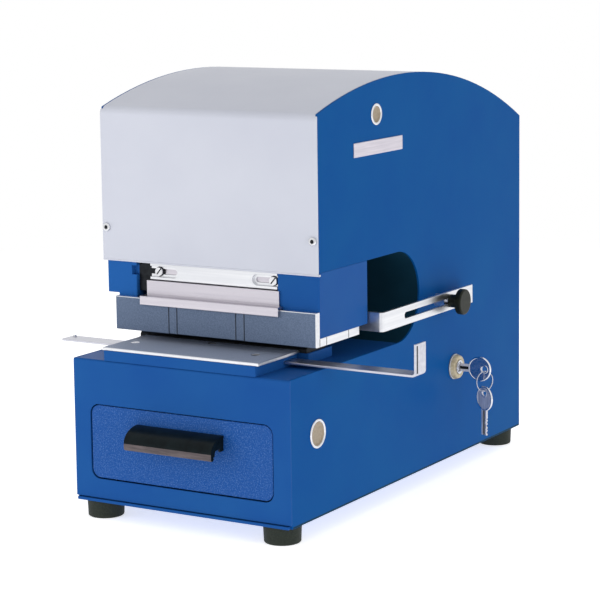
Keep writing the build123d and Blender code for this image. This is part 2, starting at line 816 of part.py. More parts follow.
# Lock bar: a flat bar with a stepped slot, open to the side, at each end.
bar_right_x = right_cheek_inner_x - bar_side_gap
with BuildPart() as lock_bar:
    block((bar_left_x, bar_right_x), (bar_front_y, crossbar_front_y),
          (bar_bottom_z, bar_bottom_z + bar_height))
    chamfer(lock_bar.faces().sort_by(Axis.Y)[0].edges(), bar_chamfer)
    bar_ends = ((bar_left_x, 1, left_slot_length), (bar_right_x, -1, right_slot_length))
    for end_x, inward_x, length in bar_ends:
        for height, depth in (
            (bar_slot_height, bar_thickness - bar_slot_floor),
            (bar_screw_diameter + 2 * bar_slot_clearance, bar_thickness),
        ):
            with BuildSketch(Plane.XZ.offset(-bar_front_y)):
                with Locations((end_x + inward_x * (length - bar_slot_height / 2), bar_centre_z)):
                    Circle(height / 2)
                with Locations((end_x + inward_x * (length - bar_slot_height / 2) / 2, bar_centre_z)):
                    Rectangle(length - bar_slot_height / 2, height)
            extrude(amount=-depth, mode=Mode.SUBTRACT)
save(lock_bar.part, "lock_bar")

screw_face_y = crossbar_front_y - bar_slot_floor - bar_screw_head_height - 0.1
with BuildPart() as lock_bar_screws:
    for x in (left_screw_x, right_screw_x):
        rod(bar_screw_head_diameter / 2, (x, screw_face_y, bar_centre_z), bar_screw_head_height, "Y")
        rod(bar_screw_diameter / 2, (x, screw_face_y, bar_centre_z),
            crossbar_front_y + crossbar_thickness - screw_face_y, "Y")
        with Locations(Location((x, screw_face_y, bar_centre_z), (0, bar_screw_slot_turn, 0))):
            Box(bar_screw_slot_width, 2 * bar_screw_slot_depth, bar_screw_head_diameter + 1,
                mode=Mode.SUBTRACT)
save(lock_bar_screws.part, "lock_bar_screws")

# Stepped guard: its upper part sits on the crossbar, its lower part hangs
# in front of the tool plate.
guard_top_z = bar_bottom_z - guard_top_gap
guard_front_y = cheek_front_y - guard_thickness
guard_lip_thickness = guard_thickness + guard_lip_extra
guard_lip_front_y = tool_front_y - running_gap - guard_lip_thickness
guard_back_y = cheek_front_y - guard_crossbar_gap
with BuildPart() as guard_plate:
    block((guard_left_x, guard_right_x), (guard_front_y, guard_back_y), (guard_step_z, guard_top_z))
    block((guard_left_x, right_cheek_inner_x - 2), (guard_back_y, crossbar_front_y),
          (crossbar_bottom_z + 2, guard_top_z))
    block((guard_left_x - guard_flare, guard_right_x + guard_flare),
          (guard_lip_front_y, guard_back_y), (guard_step_z - guard_thickness, guard_step_z))
    block((guard_left_x - guard_flare, guard_right_x + guard_flare),
          (guard_lip_front_y, guard_lip_front_y + guard_lip_thickness), (guard_bottom_z, guard_step_z))
    chamfer(guard_plate.edges().filter_by(Axis.X).group_by(Axis.Y)[0], guard_chamfer)
save(guard_plate.part, "guard_plate")

# ---------------------------------------------------------------- tool cassette
with BuildPart() as tool_front_plate:
    block((tool_left_x, half_width), (tool_front_y, cheek_front_y), (tool_bottom_z, tool_plate_top_z))
    chamfer(tool_front_plate.faces().sort_by(Axis.Y)[0].edges(), tool_plate_chamfer)
    for x in (-tool_groove_x, tool_groove_x):
        for groove_x in (x - tool_groove_spacing / 2, x + tool_groove_spacing / 2):
            block((groove_x - tool_groove_width / 2, groove_x + tool_groove_width / 2),
                  (tool_front_y, tool_front_y + tool_groove_depth), (tool_bottom_z, tool_plate_top_z),
                  mode=Mode.SUBTRACT)
save(tool_front_plate.part, "tool_front_plate")

with BuildPart() as tool_bars:
    for bar_y, bar_depth in ((cheek_front_y, front_bar_depth), (rear_bar_y, rear_bar_depth)):
        block((tool_left_x, half_width), (bar_y, bar_y + bar_depth), (tool_bottom_z, cheek_bottom_z))
    bottom = Plane((0, 0, tool_bottom_z), x_dir=(1, 0, 0), z_dir=(0, 0, -1))
    for x in tool_screw_xs:
        for y in tool_screw_ys:
            with Locations(bottom):
                with Locations((x, -y)):
                    CounterSinkHole(tool_screw_diameter / 2 + pin_hole_gap,
                                    tool_screw_head_diameter / 2, tool_bar_height)
save(tool_bars.part, "tool_bars")

with BuildPart() as tool_screws:
    head_height = (tool_screw_head_diameter - tool_screw_diameter) / 2
    for x in tool_screw_xs:
        for y in tool_screw_ys:
            with Locations((x, y, tool_bottom_z + tool_screw_sink)):
                Cone(tool_screw_head_diameter / 2 - tool_screw_head_gap, tool_screw_diameter / 2,
                     head_height, align=(Align.CENTER, Align.CENTER, Align.MIN))
                Cylinder(tool_screw_diameter / 2, tool_screw_length - tool_screw_sink,
                         align=(Align.CENTER, Align.CENTER, Align.MIN))
                Cylinder(tool_screw_socket_radius, tool_screw_socket_depth,
                         align=(Align.CENTER, Align.CENTER, Align.MIN), mode=Mode.SUBTRACT)
save(tool_screws.part, "tool_screws")

with BuildPart() as guide_plate:
    block((tool_left_x, half_width), (guide_front_y, guide_back_y), (tool_bottom_z, cheek_bottom_z))
    with Locations((tool_centre_x, pin_field_y, cheek_bottom_z)):
        with GridLocations(pin_pitch, pin_pitch, pins_per_row, pin_rows):
            Hole(pin_diameter / 2 + pin_hole_gap, tool_bar_height)
        with GridLocations(2 * pillar_x, 1, 2, 1):
            Hole(pillar_diameter / 2 + fit_gap, tool_bar_height)
save(guide_plate.part, "guide_plate")

# Pillars are pressed into the guide plate and stop just under the ram's blind bores.
pillar_top_z = holder_top_z - 1.0
with BuildPart() as guide_pillars:
    with Locations((tool_centre_x, pin_field_y, tool_bottom_z)):
        with GridLocations(2 * pillar_x, 1, 2, 1):
            Cylinder(pillar_diameter / 2, pillar_top_z - tool_bottom_z,
                     align=(Align.CENTER, Align.CENTER, Align.MIN))
    chamfer(guide_pillars.edges().group_by(Axis.Z)[-1], 0.8)
save(guide_pillars.part, "guide_pillars")

spring_height = holder_bottom_z - spring_bottom_z
with BuildPart() as return_springs:
    with Locations((tool_centre_x, pin_field_y, spring_bottom_z)):
        with GridLocations(2 * pillar_x, 1, 2, 1):
            Cylinder(spring_diameter / 2, spring_height, align=(Align.CENTER, Align.CENTER, Align.MIN))
            Cylinder(spring_diameter / 2 - spring_wire, spring_height,
                     align=(Align.CENTER, Align.CENTER, Align.MIN), mode=Mode.SUBTRACT)
save(return_springs.part, "return_springs")

with BuildPart() as pin_holder:
    block((tool_centre_x - holder_width / 2, tool_centre_x + holder_width / 2),
          (pin_field_y - holder_depth / 2, pin_field_y + holder_depth / 2),
          (holder_bottom_z, holder_top_z))
    chamfer(pin_holder.edges().filter_by(Axis.Z), 1.0)
    with Locations((tool_centre_x, pin_field_y, holder_bottom_z)):
        with GridLocations(pin_pitch, pin_pitch, pins_per_row, pin_rows):
            Cylinder(pin_diameter / 2 + fit_gap, pin_socket_depth,
                     align=(Align.CENTER, Align.CENTER, Align.MIN), mode=Mode.SUBTRACT)
        with GridLocations(2 * pillar_x, 1, 2, 1):
            Cylinder(pillar_diameter / 2 + pin_hole_gap, holder_height,
                     align=(Align.CENTER, Align.CENTER, Align.MIN), mode=Mode.SUBTRACT)
save(pin_holder.part, "pin_holder")

pin_bottom_z = tool_bottom_z + pin_recess
with BuildPart() as perforating_pins:
    with Locations((tool_centre_x, pin_field_y, pin_bottom_z)):
        with GridLocations(pin_pitch, pin_pitch, pins_per_row, pin_rows):
            Cylinder(pin_diameter / 2, holder_bottom_z + pin_socket_depth - pin_bottom_z,
                     align=(Align.CENTER, Align.CENTER, Align.MIN))
save(perforating_pins.part, "perforating_pins")

# ---------------------------------------------------------------- die and table
with BuildPart() as die_plate:
    block((-die_width / 2, die_width / 2), (die_front_y, die_front_y + die_depth),
          (die_block_top_z, paper_z))
    top_front_edge = die_plate.edges().filter_by(Axis.X).group_by(Axis.Z)[-1].sort_by(Axis.Y)[0]
    chamfer(top_front_edge, die_front_chamfer)
    with Locations((tool_centre_x, pin_field_y, paper_z)):
        with GridLocations(pin_pitch, pin_pitch, pins_per_row, pin_rows):
            Hole(pin_diameter / 2 + pin_hole_gap, die_plate_height)
save(die_plate.part, "die_plate")

with BuildPart() as die_block:
    block_half_width = die_width / 2 + die_block_side_margin
    block((-block_half_width, block_half_width),
          (die_front_y, die_front_y + die_depth + die_block_back_margin),
          (base_top_z, die_block_top_z))
    block((-chip_slot_width / 2, chip_slot_width / 2),
          (pin_field_y - chip_slot_depth / 2, pin_field_y + chip_slot_depth / 2),
          (base_top_z, die_block_top_z), mode=Mode.SUBTRACT)
save(die_block.part, "die_block")

table_left_x = -table_width / 2
support_half = table_support_width / 2
table_front_y = table_back_y - table_depth
table_screw_places = (
    (table_screw_shift - table_screw_spacing / 2, table_back_y - table_screw_back_distance),
    (table_screw_shift + table_screw_spacing / 2, table_back_y - table_screw_back_distance),
    (table_screw_shift, table_back_y - table_middle_screw_back_distance),
)

with BuildPart() as table_support:
    block((-support_half, support_half), (front_y, table_back_y),
          (base_top_z, base_top_z + support_height))
    block((-support_half, support_half),
          (ruler_back_y - ruler_width - running_gap, ruler_back_y + running_gap),
          (ruler_bottom_z - running_gap, ruler_bottom_z + ruler_thickness + running_gap),
          mode=Mode.SUBTRACT)
    with Locations(*[(x, y, base_top_z + support_height) for x, y in table_screw_places]):
        Hole(table_screw_diameter / 2 + pin_hole_gap, table_screw_length - table_thickness + 0.5)
save(table_support.part, "table_support")

with BuildPart() as paper_table:
    block((table_left_x, -table_left_x), (table_front_y, table_back_y),
          (die_block_top_z, die_block_top_z + table_thickness))
    chamfer(paper_table.faces().sort_by(Axis.Z)[-1].edges(), 0.5)
    with Locations(*[(x, y, die_block_top_z + table_thickness) for x, y in table_screw_places]):
        CounterSinkHole(table_screw_diameter / 2 + pin_hole_gap, table_screw_head_diameter / 2,
                        table_thickness)
save(paper_table.part, "paper_table")

with BuildPart() as table_screws:
    table_top_z = die_block_top_z + table_thickness
    head_height = (table_screw_head_diameter - table_screw_diameter) / 2
    for x, y in table_screw_places:
        with Locations((x, y, table_top_z - table_screw_sink)):
            Cone(table_screw_diameter / 2, table_screw_head_diameter / 2 - table_screw_sink - fit_gap,
                 head_height, align=(Align.CENTER, Align.CENTER, Align.MAX))
            Cylinder(table_screw_diameter / 2, table_screw_length - table_screw_sink,
                     align=(Align.CENTER, Align.CENTER, Align.MAX))
        with Locations((x, y, table_top_z - table_screw_sink)):
            Box(table_screw_head_diameter, table_screw_slot_width, table_screw_slot_depth,
                mode=Mode.SUBTRACT)
save(table_screws.part, "table_screws")

# Side ruler: a flat strip with its right end bent up.
ruler_front_y = ruler_back_y - ruler_width
with BuildPart() as side_ruler:
    with BuildSketch(Plane.XZ.offset(-ruler_front_y)) as ruler_section:
        with BuildLine():
            Polyline(
                (ruler_left_x, ruler_bottom_z),
                (ruler_right_x, ruler_bottom_z),
                (ruler_right_x, ruler_bottom_z + ruler_tab_height),
                (ruler_right_x - ruler_thickness, ruler_bottom_z + ruler_tab_height),
                (ruler_right_x - ruler_thickness, ruler_bottom_z + ruler_thickness),
                (ruler_left_x, ruler_bottom_z + ruler_thickness),
                close=True,
            )
        make_face()
        outer_corner = (ruler_right_x, ruler_bottom_z)
        inner_corner = (ruler_right_x - ruler_thickness, ruler_bottom_z + ruler_thickness)
        inner_bend_radius = ruler_bend_radius - ruler_thickness
        fillet(ruler_section.vertices().sort_by_distance(outer_corner)[0], ruler_bend_radius)
        fillet(ruler_section.vertices().sort_by_distance(inner_corner)[0], inner_bend_radius)
    extrude(amount=-ruler_width)
    pin_x = ruler_left_x + ruler_pin_inset
    pin_y = ruler_back_y - ruler_pin_inset
    rod(ruler_pin_diameter / 2, (pin_x, pin_y, ruler_bottom_z), ruler_thickness, "Z", mode=Mode.SUBTRACT)
save(side_ruler.part, "side_ruler")

with BuildPart() as ruler_pin:
    rod(ruler_pin_diameter / 2, (pin_x, pin_y, ruler_bottom_z), ruler_thickness + ruler_pin_height, "Z")
    chamfer(ruler_pin.edges().group_by(Axis.Z)[-1], 0.4)
save(ruler_pin.part, "ruler_pin")

# ---------------------------------------------------------------- depth stop
stop_bottom_z = stop_centre_z - stop_height / 2
with BuildPart() as depth_stop:
    with BuildSketch(Plane.XY.offset(stop_bottom_z)) as stop_section:
        with BuildLine():
            Polyline(
                (stop_outer_x - stop_inner_reach, stop_front_y),
                (stop_outer_x, stop_front_y),
                (stop_outer_x, stop_front_y + stop_arm_length),
                (stop_inner_x, stop_front_y + stop_arm_length),
                (stop_inner_x, stop_front_y + stop_thickness),
                (stop_outer_x - stop_inner_reach, stop_front_y + stop_thickness),
                close=True,
            )
        make_face()
        outer_corner = (stop_outer_x, stop_front_y)
        inner_corner = (stop_inner_x, stop_front_y + stop_thickness)
        fillet(stop_section.vertices().sort_by_distance(outer_corner)[0], stop_bend_radius)
        fillet(stop_section.vertices().sort_by_distance(inner_corner)[0], stop_bend_radius - stop_thickness)
    extrude(amount=stop_height)
    with BuildSketch(Plane.YZ.offset(stop_inner_x)):
        with Locations((stop_front_y + stop_slot_start + stop_slot_length / 2, stop_centre_z)):
            SlotOverall(stop_slot_length, stop_slot_height)
    extrude(amount=stop_thickness, mode=Mode.SUBTRACT)
save(depth_stop.part, "depth_stop")

stud_end_x = stop_outer_x + stud_length
with BuildPart() as stop_stud:
    rod(stud_diameter / 2, (frame_inner_x, stud_y, stop_centre_z), stud_end_x - frame_inner_x, "X")
    rod(stud_boss_diameter / 2, (half_width, stud_y, stop_centre_z), stop_stand_off - running_gap, "X")
save(stop_stud.part, "stop_stud")

with BuildPart() as stop_knob:
    neck_start_x = stop_outer_x + running_gap
    disc_start_x = neck_start_x + knob_neck_length
    rod(knob_neck_diameter / 2, (neck_start_x, stud_y, stop_centre_z), knob_neck_length, "X")
    rod(knob_diameter / 2, (disc_start_x, stud_y, stop_centre_z), knob_thickness, "X")
    fillet(stop_knob.faces().filter_by(Axis.X).sort_by(Axis.X)[-1].edges(), 1.6)
    rod(stud_diameter / 2 + fit_gap, (neck_start_x - 1, stud_y, stop_centre_z),
        stud_end_x - neck_start_x + 1.5, "X", mode=Mode.SUBTRACT)
save(stop_knob.part, "stop_knob")

# ---------------------------------------------------------------- drive
yoke_top_play = eccentric_radius + yoke_clearance
eccentricity = stroke / 2
yoke_half_depth = eccentric_radius + eccentricity + yoke_side_gap + yoke_wall
yoke_centre_z = shaft_z + eccentricity
yoke_bottom_z = yoke_centre_z - yoke_top_play - yoke_wall
ram_bottom_z = holder_top_z
ram_half_width = cheek_gap / 2 - running_gap
ram_depth = holder_depth + 2.0
yoke_sides = (tool_centre_x - yoke_width / 2, tool_centre_x + yoke_width / 2)
with BuildPart() as ram:
    block((tool_centre_x - ram_half_width, tool_centre_x + ram_half_width),
          (pin_field_y - ram_depth / 2, pin_field_y + ram_depth / 2),
          (ram_bottom_z, ram_bottom_z + beam_height))
    block(yoke_sides, (pin_field_y - ram_depth / 2, pin_field_y + ram_depth / 2),
          (ram_bottom_z + beam_height, yoke_bottom_z))
    block(yoke_sides, (shaft_y - yoke_half_depth, shaft_y + yoke_half_depth),
          (yoke_bottom_z, yoke_centre_z + yoke_top_play + yoke_wall))
    block(yoke_sides,
          (shaft_y - yoke_half_depth + yoke_wall, shaft_y + yoke_half_depth - yoke_wall),
          (yoke_centre_z - yoke_top_play, yoke_centre_z + yoke_top_play), mode=Mode.SUBTRACT)
    with Locations((tool_centre_x, pin_field_y, ram_bottom_z)):
        with GridLocations(2 * pillar_x, 1, 2, 1):
            Cylinder(pillar_diameter / 2 + pin_hole_gap, stroke + 2,
                     align=(Align.CENTER, Align.CENTER, Align.MIN), mode=Mode.SUBTRACT)
save(ram.part, "ram")

shaft_radius = shaft_diameter / 2
with BuildPart() as eccentric_shaft:
    rod(shaft_radius, (-frame_outer_x, shaft_y, shaft_z), 2 * frame_outer_x, "X")
    rod(eccentric_radius, (tool_centre_x - eccentric_width / 2, shaft_y, shaft_z + eccentricity),
        eccentric_width, "X")
save(eccentric_shaft.part, "eccentric_shaft")

with BuildPart() as shaft_bearings:
    for start_x in (-frame_outer_x, frame_inner_x):
        rod(bearing_diameter / 2 - fit_gap, (start_x, shaft_y, shaft_z), frame_plate_thickness, "X")
        rod(shaft_radius + fit_gap, (start_x, shaft_y, shaft_z), frame_plate_thickness, "X",
            mode=Mode.SUBTRACT)
save(shaft_bearings.part, "shaft_bearings")


def spur_gear(teeth, y, phase, bore_radius):
    """Spur gear with backlash; phase is the angle of one tooth's middle."""
    pitch_radius = gear_module * teeth / 2
    root = pitch_radius - 1.2 * gear_module
    tip = pitch_radius + 0.8 * gear_module
    step = 2 * math.pi / teeth
    flanks = ((root, -0.27), (tip, -0.1), (tip, 0.1), (root, 0.27))
    corners = [(radius, phase + (k + share) * step) for k in range(teeth) for radius, share in flanks]
    points = [(y + r * math.cos(turn), shaft_z + r * math.sin(turn)) for r, turn in corners]
    with BuildPart() as gear:
        with BuildSketch(Plane.YZ.offset(gear_x)):
            with BuildLine():
                Polyline(*points, close=True)
            make_face()
            if bore_radius:
                with Locations((y, shaft_z)):
                    Circle(bore_radius, mode=Mode.SUBTRACT)
        extrude(amount=gear_width)
    return gear.part


idler_phase = math.pi + math.pi / idler_teeth
pinion_phase = math.pi + math.pi / pinion_teeth
save(spur_gear(drive_teeth, shaft_y, 0.0, shaft_radius + fit_gap), "drive_gear")
save(spur_gear(idler_teeth, idler_y, idler_phase, idler_axle_diameter / 2 + fit_gap), "idler_gear")

bracket_x = gear_x - gear_side_gap - motor_bracket_thickness
motor_x = bracket_x - motor_length
with BuildPart() as motor_pinion:
    add(spur_gear(pinion_teeth, motor_y, pinion_phase, 0))
    rod(motor_shaft_diameter / 2, (bracket_x - motor_shaft_hidden_length, motor_y, shaft_z),
        gear_x + gear_width + shaft_end_gap - bracket_x + motor_shaft_hidden_length, "X")
save(motor_pinion.part, "motor_pinion")

with BuildPart() as idler_axle:
    rod(idler_axle_diameter / 2, (bracket_x, idler_y, shaft_z),
        motor_bracket_thickness + gear_width + idler_collar_length, "X")
    rod(idler_axle_diameter / 2 + idler_collar_rim,
        (gear_x + gear_width + idler_collar_gap, idler_y, shaft_z), idler_collar_length, "X")
save(idler_axle.part, "idler_axle")

bracket_foot_z = head_floor_z + head_floor_thickness
with BuildPart() as motor_bracket:
    block((bracket_x, bracket_x + motor_bracket_thickness),
          (idler_y - bracket_front_reach, motor_y + bracket_back_reach),
          (bracket_foot_z, shaft_z + bracket_top_reach))
    block((bracket_x - motor_foot_length, bracket_x), (cheek_back_y, throat_centre_y),
          (bracket_foot_z, bracket_foot_z + motor_foot_thickness))
    for radius, y in ((motor_pilot_diameter / 2 + fit_gap, motor_y), (idler_axle_diameter / 2, idler_y)):
        rod(radius, (bracket_x - 1, y, shaft_z), motor_bracket_thickness + 2, "X", mode=Mode.SUBTRACT)
save(motor_bracket.part, "motor_bracket")

with BuildPart() as motor:
    rod(motor_diameter / 2, (motor_x, motor_y, shaft_z), motor_length, "X")
    fillet(motor.faces().sort_by(Axis.X)[0].edges(), motor_edge_rounding)
    rod(motor_pilot_diameter / 2, (bracket_x, motor_y, shaft_z), motor_bracket_thickness, "X")
    bore_start_x = bracket_x - motor_shaft_hidden_length - shaft_end_gap
    bore_end_x = bracket_x + motor_bracket_thickness + 1
    rod(motor_shaft_diameter / 2 + fit_gap, (bore_start_x, motor_y, shaft_z), bore_end_x - bore_start_x, "X",
        mode=Mode.SUBTRACT)
save(motor.part, "motor")

# ---------------------------------------------------------------- key switch
cylinder_start_x = half_width - lock_barrel_length + lock_back_wall
with BuildPart() as lock_body:
    rod(lock_barrel_diameter / 2, (half_width - lock_barrel_length, lock_y, lock_z), lock_barrel_length, "X")
    rod(lock_flange_diameter / 2, (half_width, lock_y, lock_z), lock_flange_thickness, "X")
    fillet(lock_body.faces().sort_by(Axis.X)[-1].edges(), lock_edge_rounding)
    rod(lock_cylinder_diameter / 2 + fit_gap, (cylinder_start_x, lock_y, lock_z),
        lock_barrel_length + lock_flange_thickness, "X", mode=Mode.SUBTRACT)
save(lock_body.part, "lock_body")

cylinder_end_x = half_width + lock_flange_thickness + lock_cylinder_proud
key_tip_x = cylinder_end_x - key_inserted_length
key_slot_half_width = key_thickness / 2 + key_slot_gap
key_slot_half_height = key_blade_height / 2 + key_slot_gap
with BuildPart() as lock_cylinder:
    rod(lock_cylinder_diameter / 2, (cylinder_start_x, lock_y, lock_z),
        cylinder_end_x - cylinder_start_x, "X")
    block((key_tip_x - 1, cylinder_end_x),
          (lock_y - key_slot_half_width, lock_y + key_slot_half_width),
          (lock_z - key_slot_half_height, lock_z + key_slot_half_height), mode=Mode.SUBTRACT)
save(lock_cylinder.part, "lock_cylinder")


def key_shape(plane, hole_at_end, blade_length):
    """Flat key drawn with its blade along -X of the plane and its bow at the origin."""
    with BuildPart() as piece:
        with BuildSketch(plane):
            Circle(key_bow_diameter / 2)
            with Locations((-key_bow_diameter / 2 - blade_length, 0)):
                Rectangle(blade_length + key_blade_overlap, key_blade_height,
                          align=(Align.MIN, Align.CENTER))
            with Locations((hole_at_end, 0)):
                Circle(key_hole_diameter / 2, mode=Mode.SUBTRACT)
        extrude(amount=key_thickness / 2, both=True)
    return piece.part


key_plane = Plane((key_bow_x, lock_y, lock_z), x_dir=(1, 0, 0), z_dir=(0, -1, 0))
key_reach = key_bow_x - key_bow_diameter / 2 - key_tip_x
save(key_shape(key_plane, key_hole_offset, key_reach), "key")

ring_turn = math.radians(key_ring_turn)
ring_direction = (math.sin(ring_turn), math.cos(ring_turn), 0)
ring_normal = (ring_direction[1], -ring_direction[0], 0)
ring_plane = Plane((key_hole_x, lock_y, ring_centre_z), x_dir=ring_direction, z_dir=ring_normal)
with BuildPart() as key_ring:
    with BuildSketch(Plane(ring_plane.origin, x_dir=ring_direction, z_dir=(0, 0, 1))):
        with Locations((key_ring_radius, 0)):
            Circle(key_ring_wire / 2)
    revolve(axis=Axis(ring_plane.origin, ring_normal), revolution_arc=360)
save(key_ring.part, "key_ring")

spare_centre = (key_hole_x, lock_y, spare_hole_z - key_hole_offset)
spare_plane = Plane(spare_centre, x_dir=(0, 0, 1), z_dir=ring_direction)
save(key_shape(spare_plane, key_hole_offset, spare_blade_length), "spare_key")

# ---------------------------------------------------------------- chip drawer
drawer_face_y = front_y + drawer_front_recess
drawer_back_y = drawer_face_y + drawer_front_thickness
with BuildPart() as drawer_front:
    with BuildSketch(Plane.XZ.offset(-drawer_face_y)):
        with Locations((0, drawer_front_centre_z)):
            RectangleRounded(drawer_front_width, drawer_front_height, drawer_corner_radius)
    extrude(amount=-drawer_front_thickness)
    chamfer(drawer_front.faces().sort_by(Axis.Y)[0].edges(), drawer_front_chamfer)
save(drawer_front.part, "drawer_front")

tray_half = runner_web_x - runner_sheet - tray_side_gap
with BuildPart() as drawer_tray:
    block((-tray_half, tray_half), (drawer_back_y, drawer_back_y + tray_depth),
          (tray_bottom_z, tray_bottom_z + tray_height))
    fillet(drawer_tray.edges().filter_by(Axis.Z), tray_corner_radius)
    offset(amount=-tray_wall, openings=drawer_tray.faces().sort_by(Axis.Z)[-1])
save(drawer_tray.part, "drawer_tray")

handle_drop = handle_top_z - handle_bottom_z


def hood(inset):
    """Quarter-oval hood above the finger space, inset for its inner face."""
    with BuildPart() as solid:
        with BuildSketch(Plane.YZ):
            with Locations((drawer_face_y, handle_bottom_z)):
                Ellipse(handle_reach - inset, handle_drop - inset)
                Rectangle(handle_reach, 2 * handle_drop, align=(Align.MIN, Align.CENTER),
                          mode=Mode.SUBTRACT)
                Rectangle(2 * handle_reach, handle_drop, align=(Align.CENTER, Align.MAX),
                          mode=Mode.SUBTRACT)
        extrude(amount=handle_width / 2 - inset, both=True)
    return solid.part


with BuildPart() as drawer_handle:
    add(hood(0))
    add(hood(handle_wall), mode=Mode.SUBTRACT)
save(drawer_handle.part, "drawer_handle")

# Runner section: foot on the bottom plate, web, and shelf under the tray.
shelf_top_z = tray_bottom_z - running_gap
web_inner_x = runner_web_x - runner_sheet
with BuildPart() as drawer_runners:
    for side in (-1, 1):
        y_span = (front_y + runner_front_gap, drawer_back_y + tray_depth + runner_back_reach)
        block((side * web_inner_x, side * runner_web_x), y_span, (floor_z, shelf_top_z + runner_web_rise))
        block((side * runner_web_x, side * (runner_web_x + runner_foot - runner_foot_gap)), y_span,
              (floor_z, floor_z + runner_sheet))
        block((side * (web_inner_x - runner_shelf), side * web_inner_x), y_span,
              (shelf_top_z - runner_sheet, shelf_top_z))
save(drawer_runners.part, "drawer_runners")

# ---------------------------------------------------------------- control board
board_z = floor_z + board_stand_off
board_top_z = board_z + board_thickness
board_parts = (
    (transformer_size, transformer_place),
    (relay_size, relay_place),
    (terminal_strip_size, terminal_strip_place),
)
with BuildPart() as control_board:
    block((-board_width / 2, board_width / 2),
          (board_centre_y - board_length / 2, board_centre_y + board_length / 2),
          (board_z, board_top_z))
    with Locations((0, board_centre_y, floor_z)):
        with GridLocations(board_width - 2 * board_post_inset, board_length - 2 * board_post_inset, 2, 2):
            Cylinder(board_post_diameter / 2, board_stand_off,
                     align=(Align.CENTER, Align.CENTER, Align.MIN))
    for size, (x, y) in board_parts:
        with Locations((x, board_centre_y + y, board_top_z)):
            Box(*size, align=(Align.CENTER, Align.CENTER, Align.MIN))
    with Locations((0, board_centre_y + capacitor_back_distance, board_top_z)):
        with GridLocations(capacitor_pitch, 1, 3, 1):
            Cylinder(capacitor_diameter / 2, capacitor_height,
                     align=(Align.CENTER, Align.CENTER, Align.MIN))
save(control_board.part, "control_board")
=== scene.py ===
import math
import bpy
from mathutils import Matrix, Vector


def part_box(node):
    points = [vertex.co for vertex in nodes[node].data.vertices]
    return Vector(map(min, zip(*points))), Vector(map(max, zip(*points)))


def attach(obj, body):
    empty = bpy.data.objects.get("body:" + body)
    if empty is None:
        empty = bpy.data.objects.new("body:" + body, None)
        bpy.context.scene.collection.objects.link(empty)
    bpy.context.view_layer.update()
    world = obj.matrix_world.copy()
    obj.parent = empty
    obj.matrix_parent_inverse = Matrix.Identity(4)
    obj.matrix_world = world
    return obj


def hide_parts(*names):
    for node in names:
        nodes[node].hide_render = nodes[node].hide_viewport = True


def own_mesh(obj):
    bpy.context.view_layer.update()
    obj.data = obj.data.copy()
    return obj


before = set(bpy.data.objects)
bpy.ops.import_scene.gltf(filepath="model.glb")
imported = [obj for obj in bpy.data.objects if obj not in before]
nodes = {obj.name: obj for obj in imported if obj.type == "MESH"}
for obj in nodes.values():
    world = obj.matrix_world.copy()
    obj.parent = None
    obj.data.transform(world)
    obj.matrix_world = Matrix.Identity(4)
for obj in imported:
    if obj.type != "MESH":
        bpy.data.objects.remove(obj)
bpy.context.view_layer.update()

# An electric pin perforator, dressed for its portrait. Metres, in the model's own frame.
mm = 0.001
toRight = (1, 0, 0)
toFront = (0, -1, 0)
toBack = (0, 1, 0)
upward = (0, 0, 1)
# A face counts as facing a direction when the cosine between them is above this.
straight = 0.9
print("frame loaded:", len(nodes), "nodes")


# Helpers that pick, cut, join and finish meshes.

def clearSelection():
    if bpy.context.object and bpy.context.object.mode != "OBJECT":
        bpy.ops.object.mode_set(mode="OBJECT")
    bpy.ops.object.select_all(action="DESELECT")


def pick(piece):
    clearSelection()
    piece.select_set(True)
    bpy.context.view_layer.objects.active = piece
    return piece


def selectFaces(piece, test):
    pick(piece)
    mesh = piece.data
    for part in (mesh.vertices, mesh.edges, mesh.polygons):
        part.foreach_set("select", [False] * len(part))
    for face in mesh.polygons:
        face.select = test(face)
    bpy.context.tool_settings.mesh_select_mode = (False, False, True)
    bpy.ops.object.mode_set(mode="EDIT")


def objectMode():
    bpy.ops.object.mode_set(mode="OBJECT")


def applyModifier(piece, kind, settings):
    modifier = piece.modifiers.new(kind, kind)
    for key, value in settings.items():
        setattr(modifier, key, value)
    pick(piece)
    bpy.ops.object.modifier_apply(modifier=modifier.name)


def settle(piece):
    pick(piece)
    bpy.ops.object.transform_apply(location=True, rotation=True, scale=True)


def smooth(piece, angle=35):
    pick(piece)
    bpy.ops.object.shade_smooth_by_angle(angle=math.radians(angle))


def softenEdges(piece, width, segments=2, angle=30):
    applyModifier(piece, "BEVEL", {
        "width": width, "segments": segments, "limit_method": "ANGLE",
        "angle_limit": math.radians(angle), "miter_outer": "MITER_ARC",
    })
    smooth(piece)
    applyModifier(piece, "WEIGHTED_NORMAL", {"keep_sharp": True, "weight": 50})


def dress(piece, body, material, replaced=()):
    if material is not None:
        piece.data.materials.clear()
        piece.data.materials.append(material)
    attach(piece, body)
    if replaced:
        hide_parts(*replaced)
    return piece


def mergedCopy(node, name):
    piece = bpy.data.objects.new(name, nodes[node].data.copy())
    bpy.context.scene.collection.objects.link(piece)
    pick(piece)
    bpy.ops.object.mode_set(mode="EDIT")
    bpy.ops.mesh.select_all(action="SELECT")
    bpy.ops.mesh.remove_doubles(threshold=1e-6)
    bpy.ops.mesh.dissolve_limited(angle_limit=math.radians(0.8))
    objectMode()
    return piece


def block(name, low, high):
    bpy.ops.mesh.primitive_cube_add(size=1, location=(Vector(low) + Vector(high)) / 2)
    piece = bpy.context.object
    piece.name = name
    piece.scale = Vector(high) - Vector(low)
    settle(piece)
    return piece


def disc(name, centre, radius, length, direction, vertices=64):
    bpy.ops.mesh.primitive_cylinder_add(
        vertices=vertices, radius=radius, depth=length, end_fill_type="NGON",
        location=Vector(centre) + Vector(direction) * length / 2,
        rotation=Vector(direction).to_track_quat("Z", "Y").to_euler())
    piece = bpy.context.object
    piece.name = name
    settle(piece)
    return piece


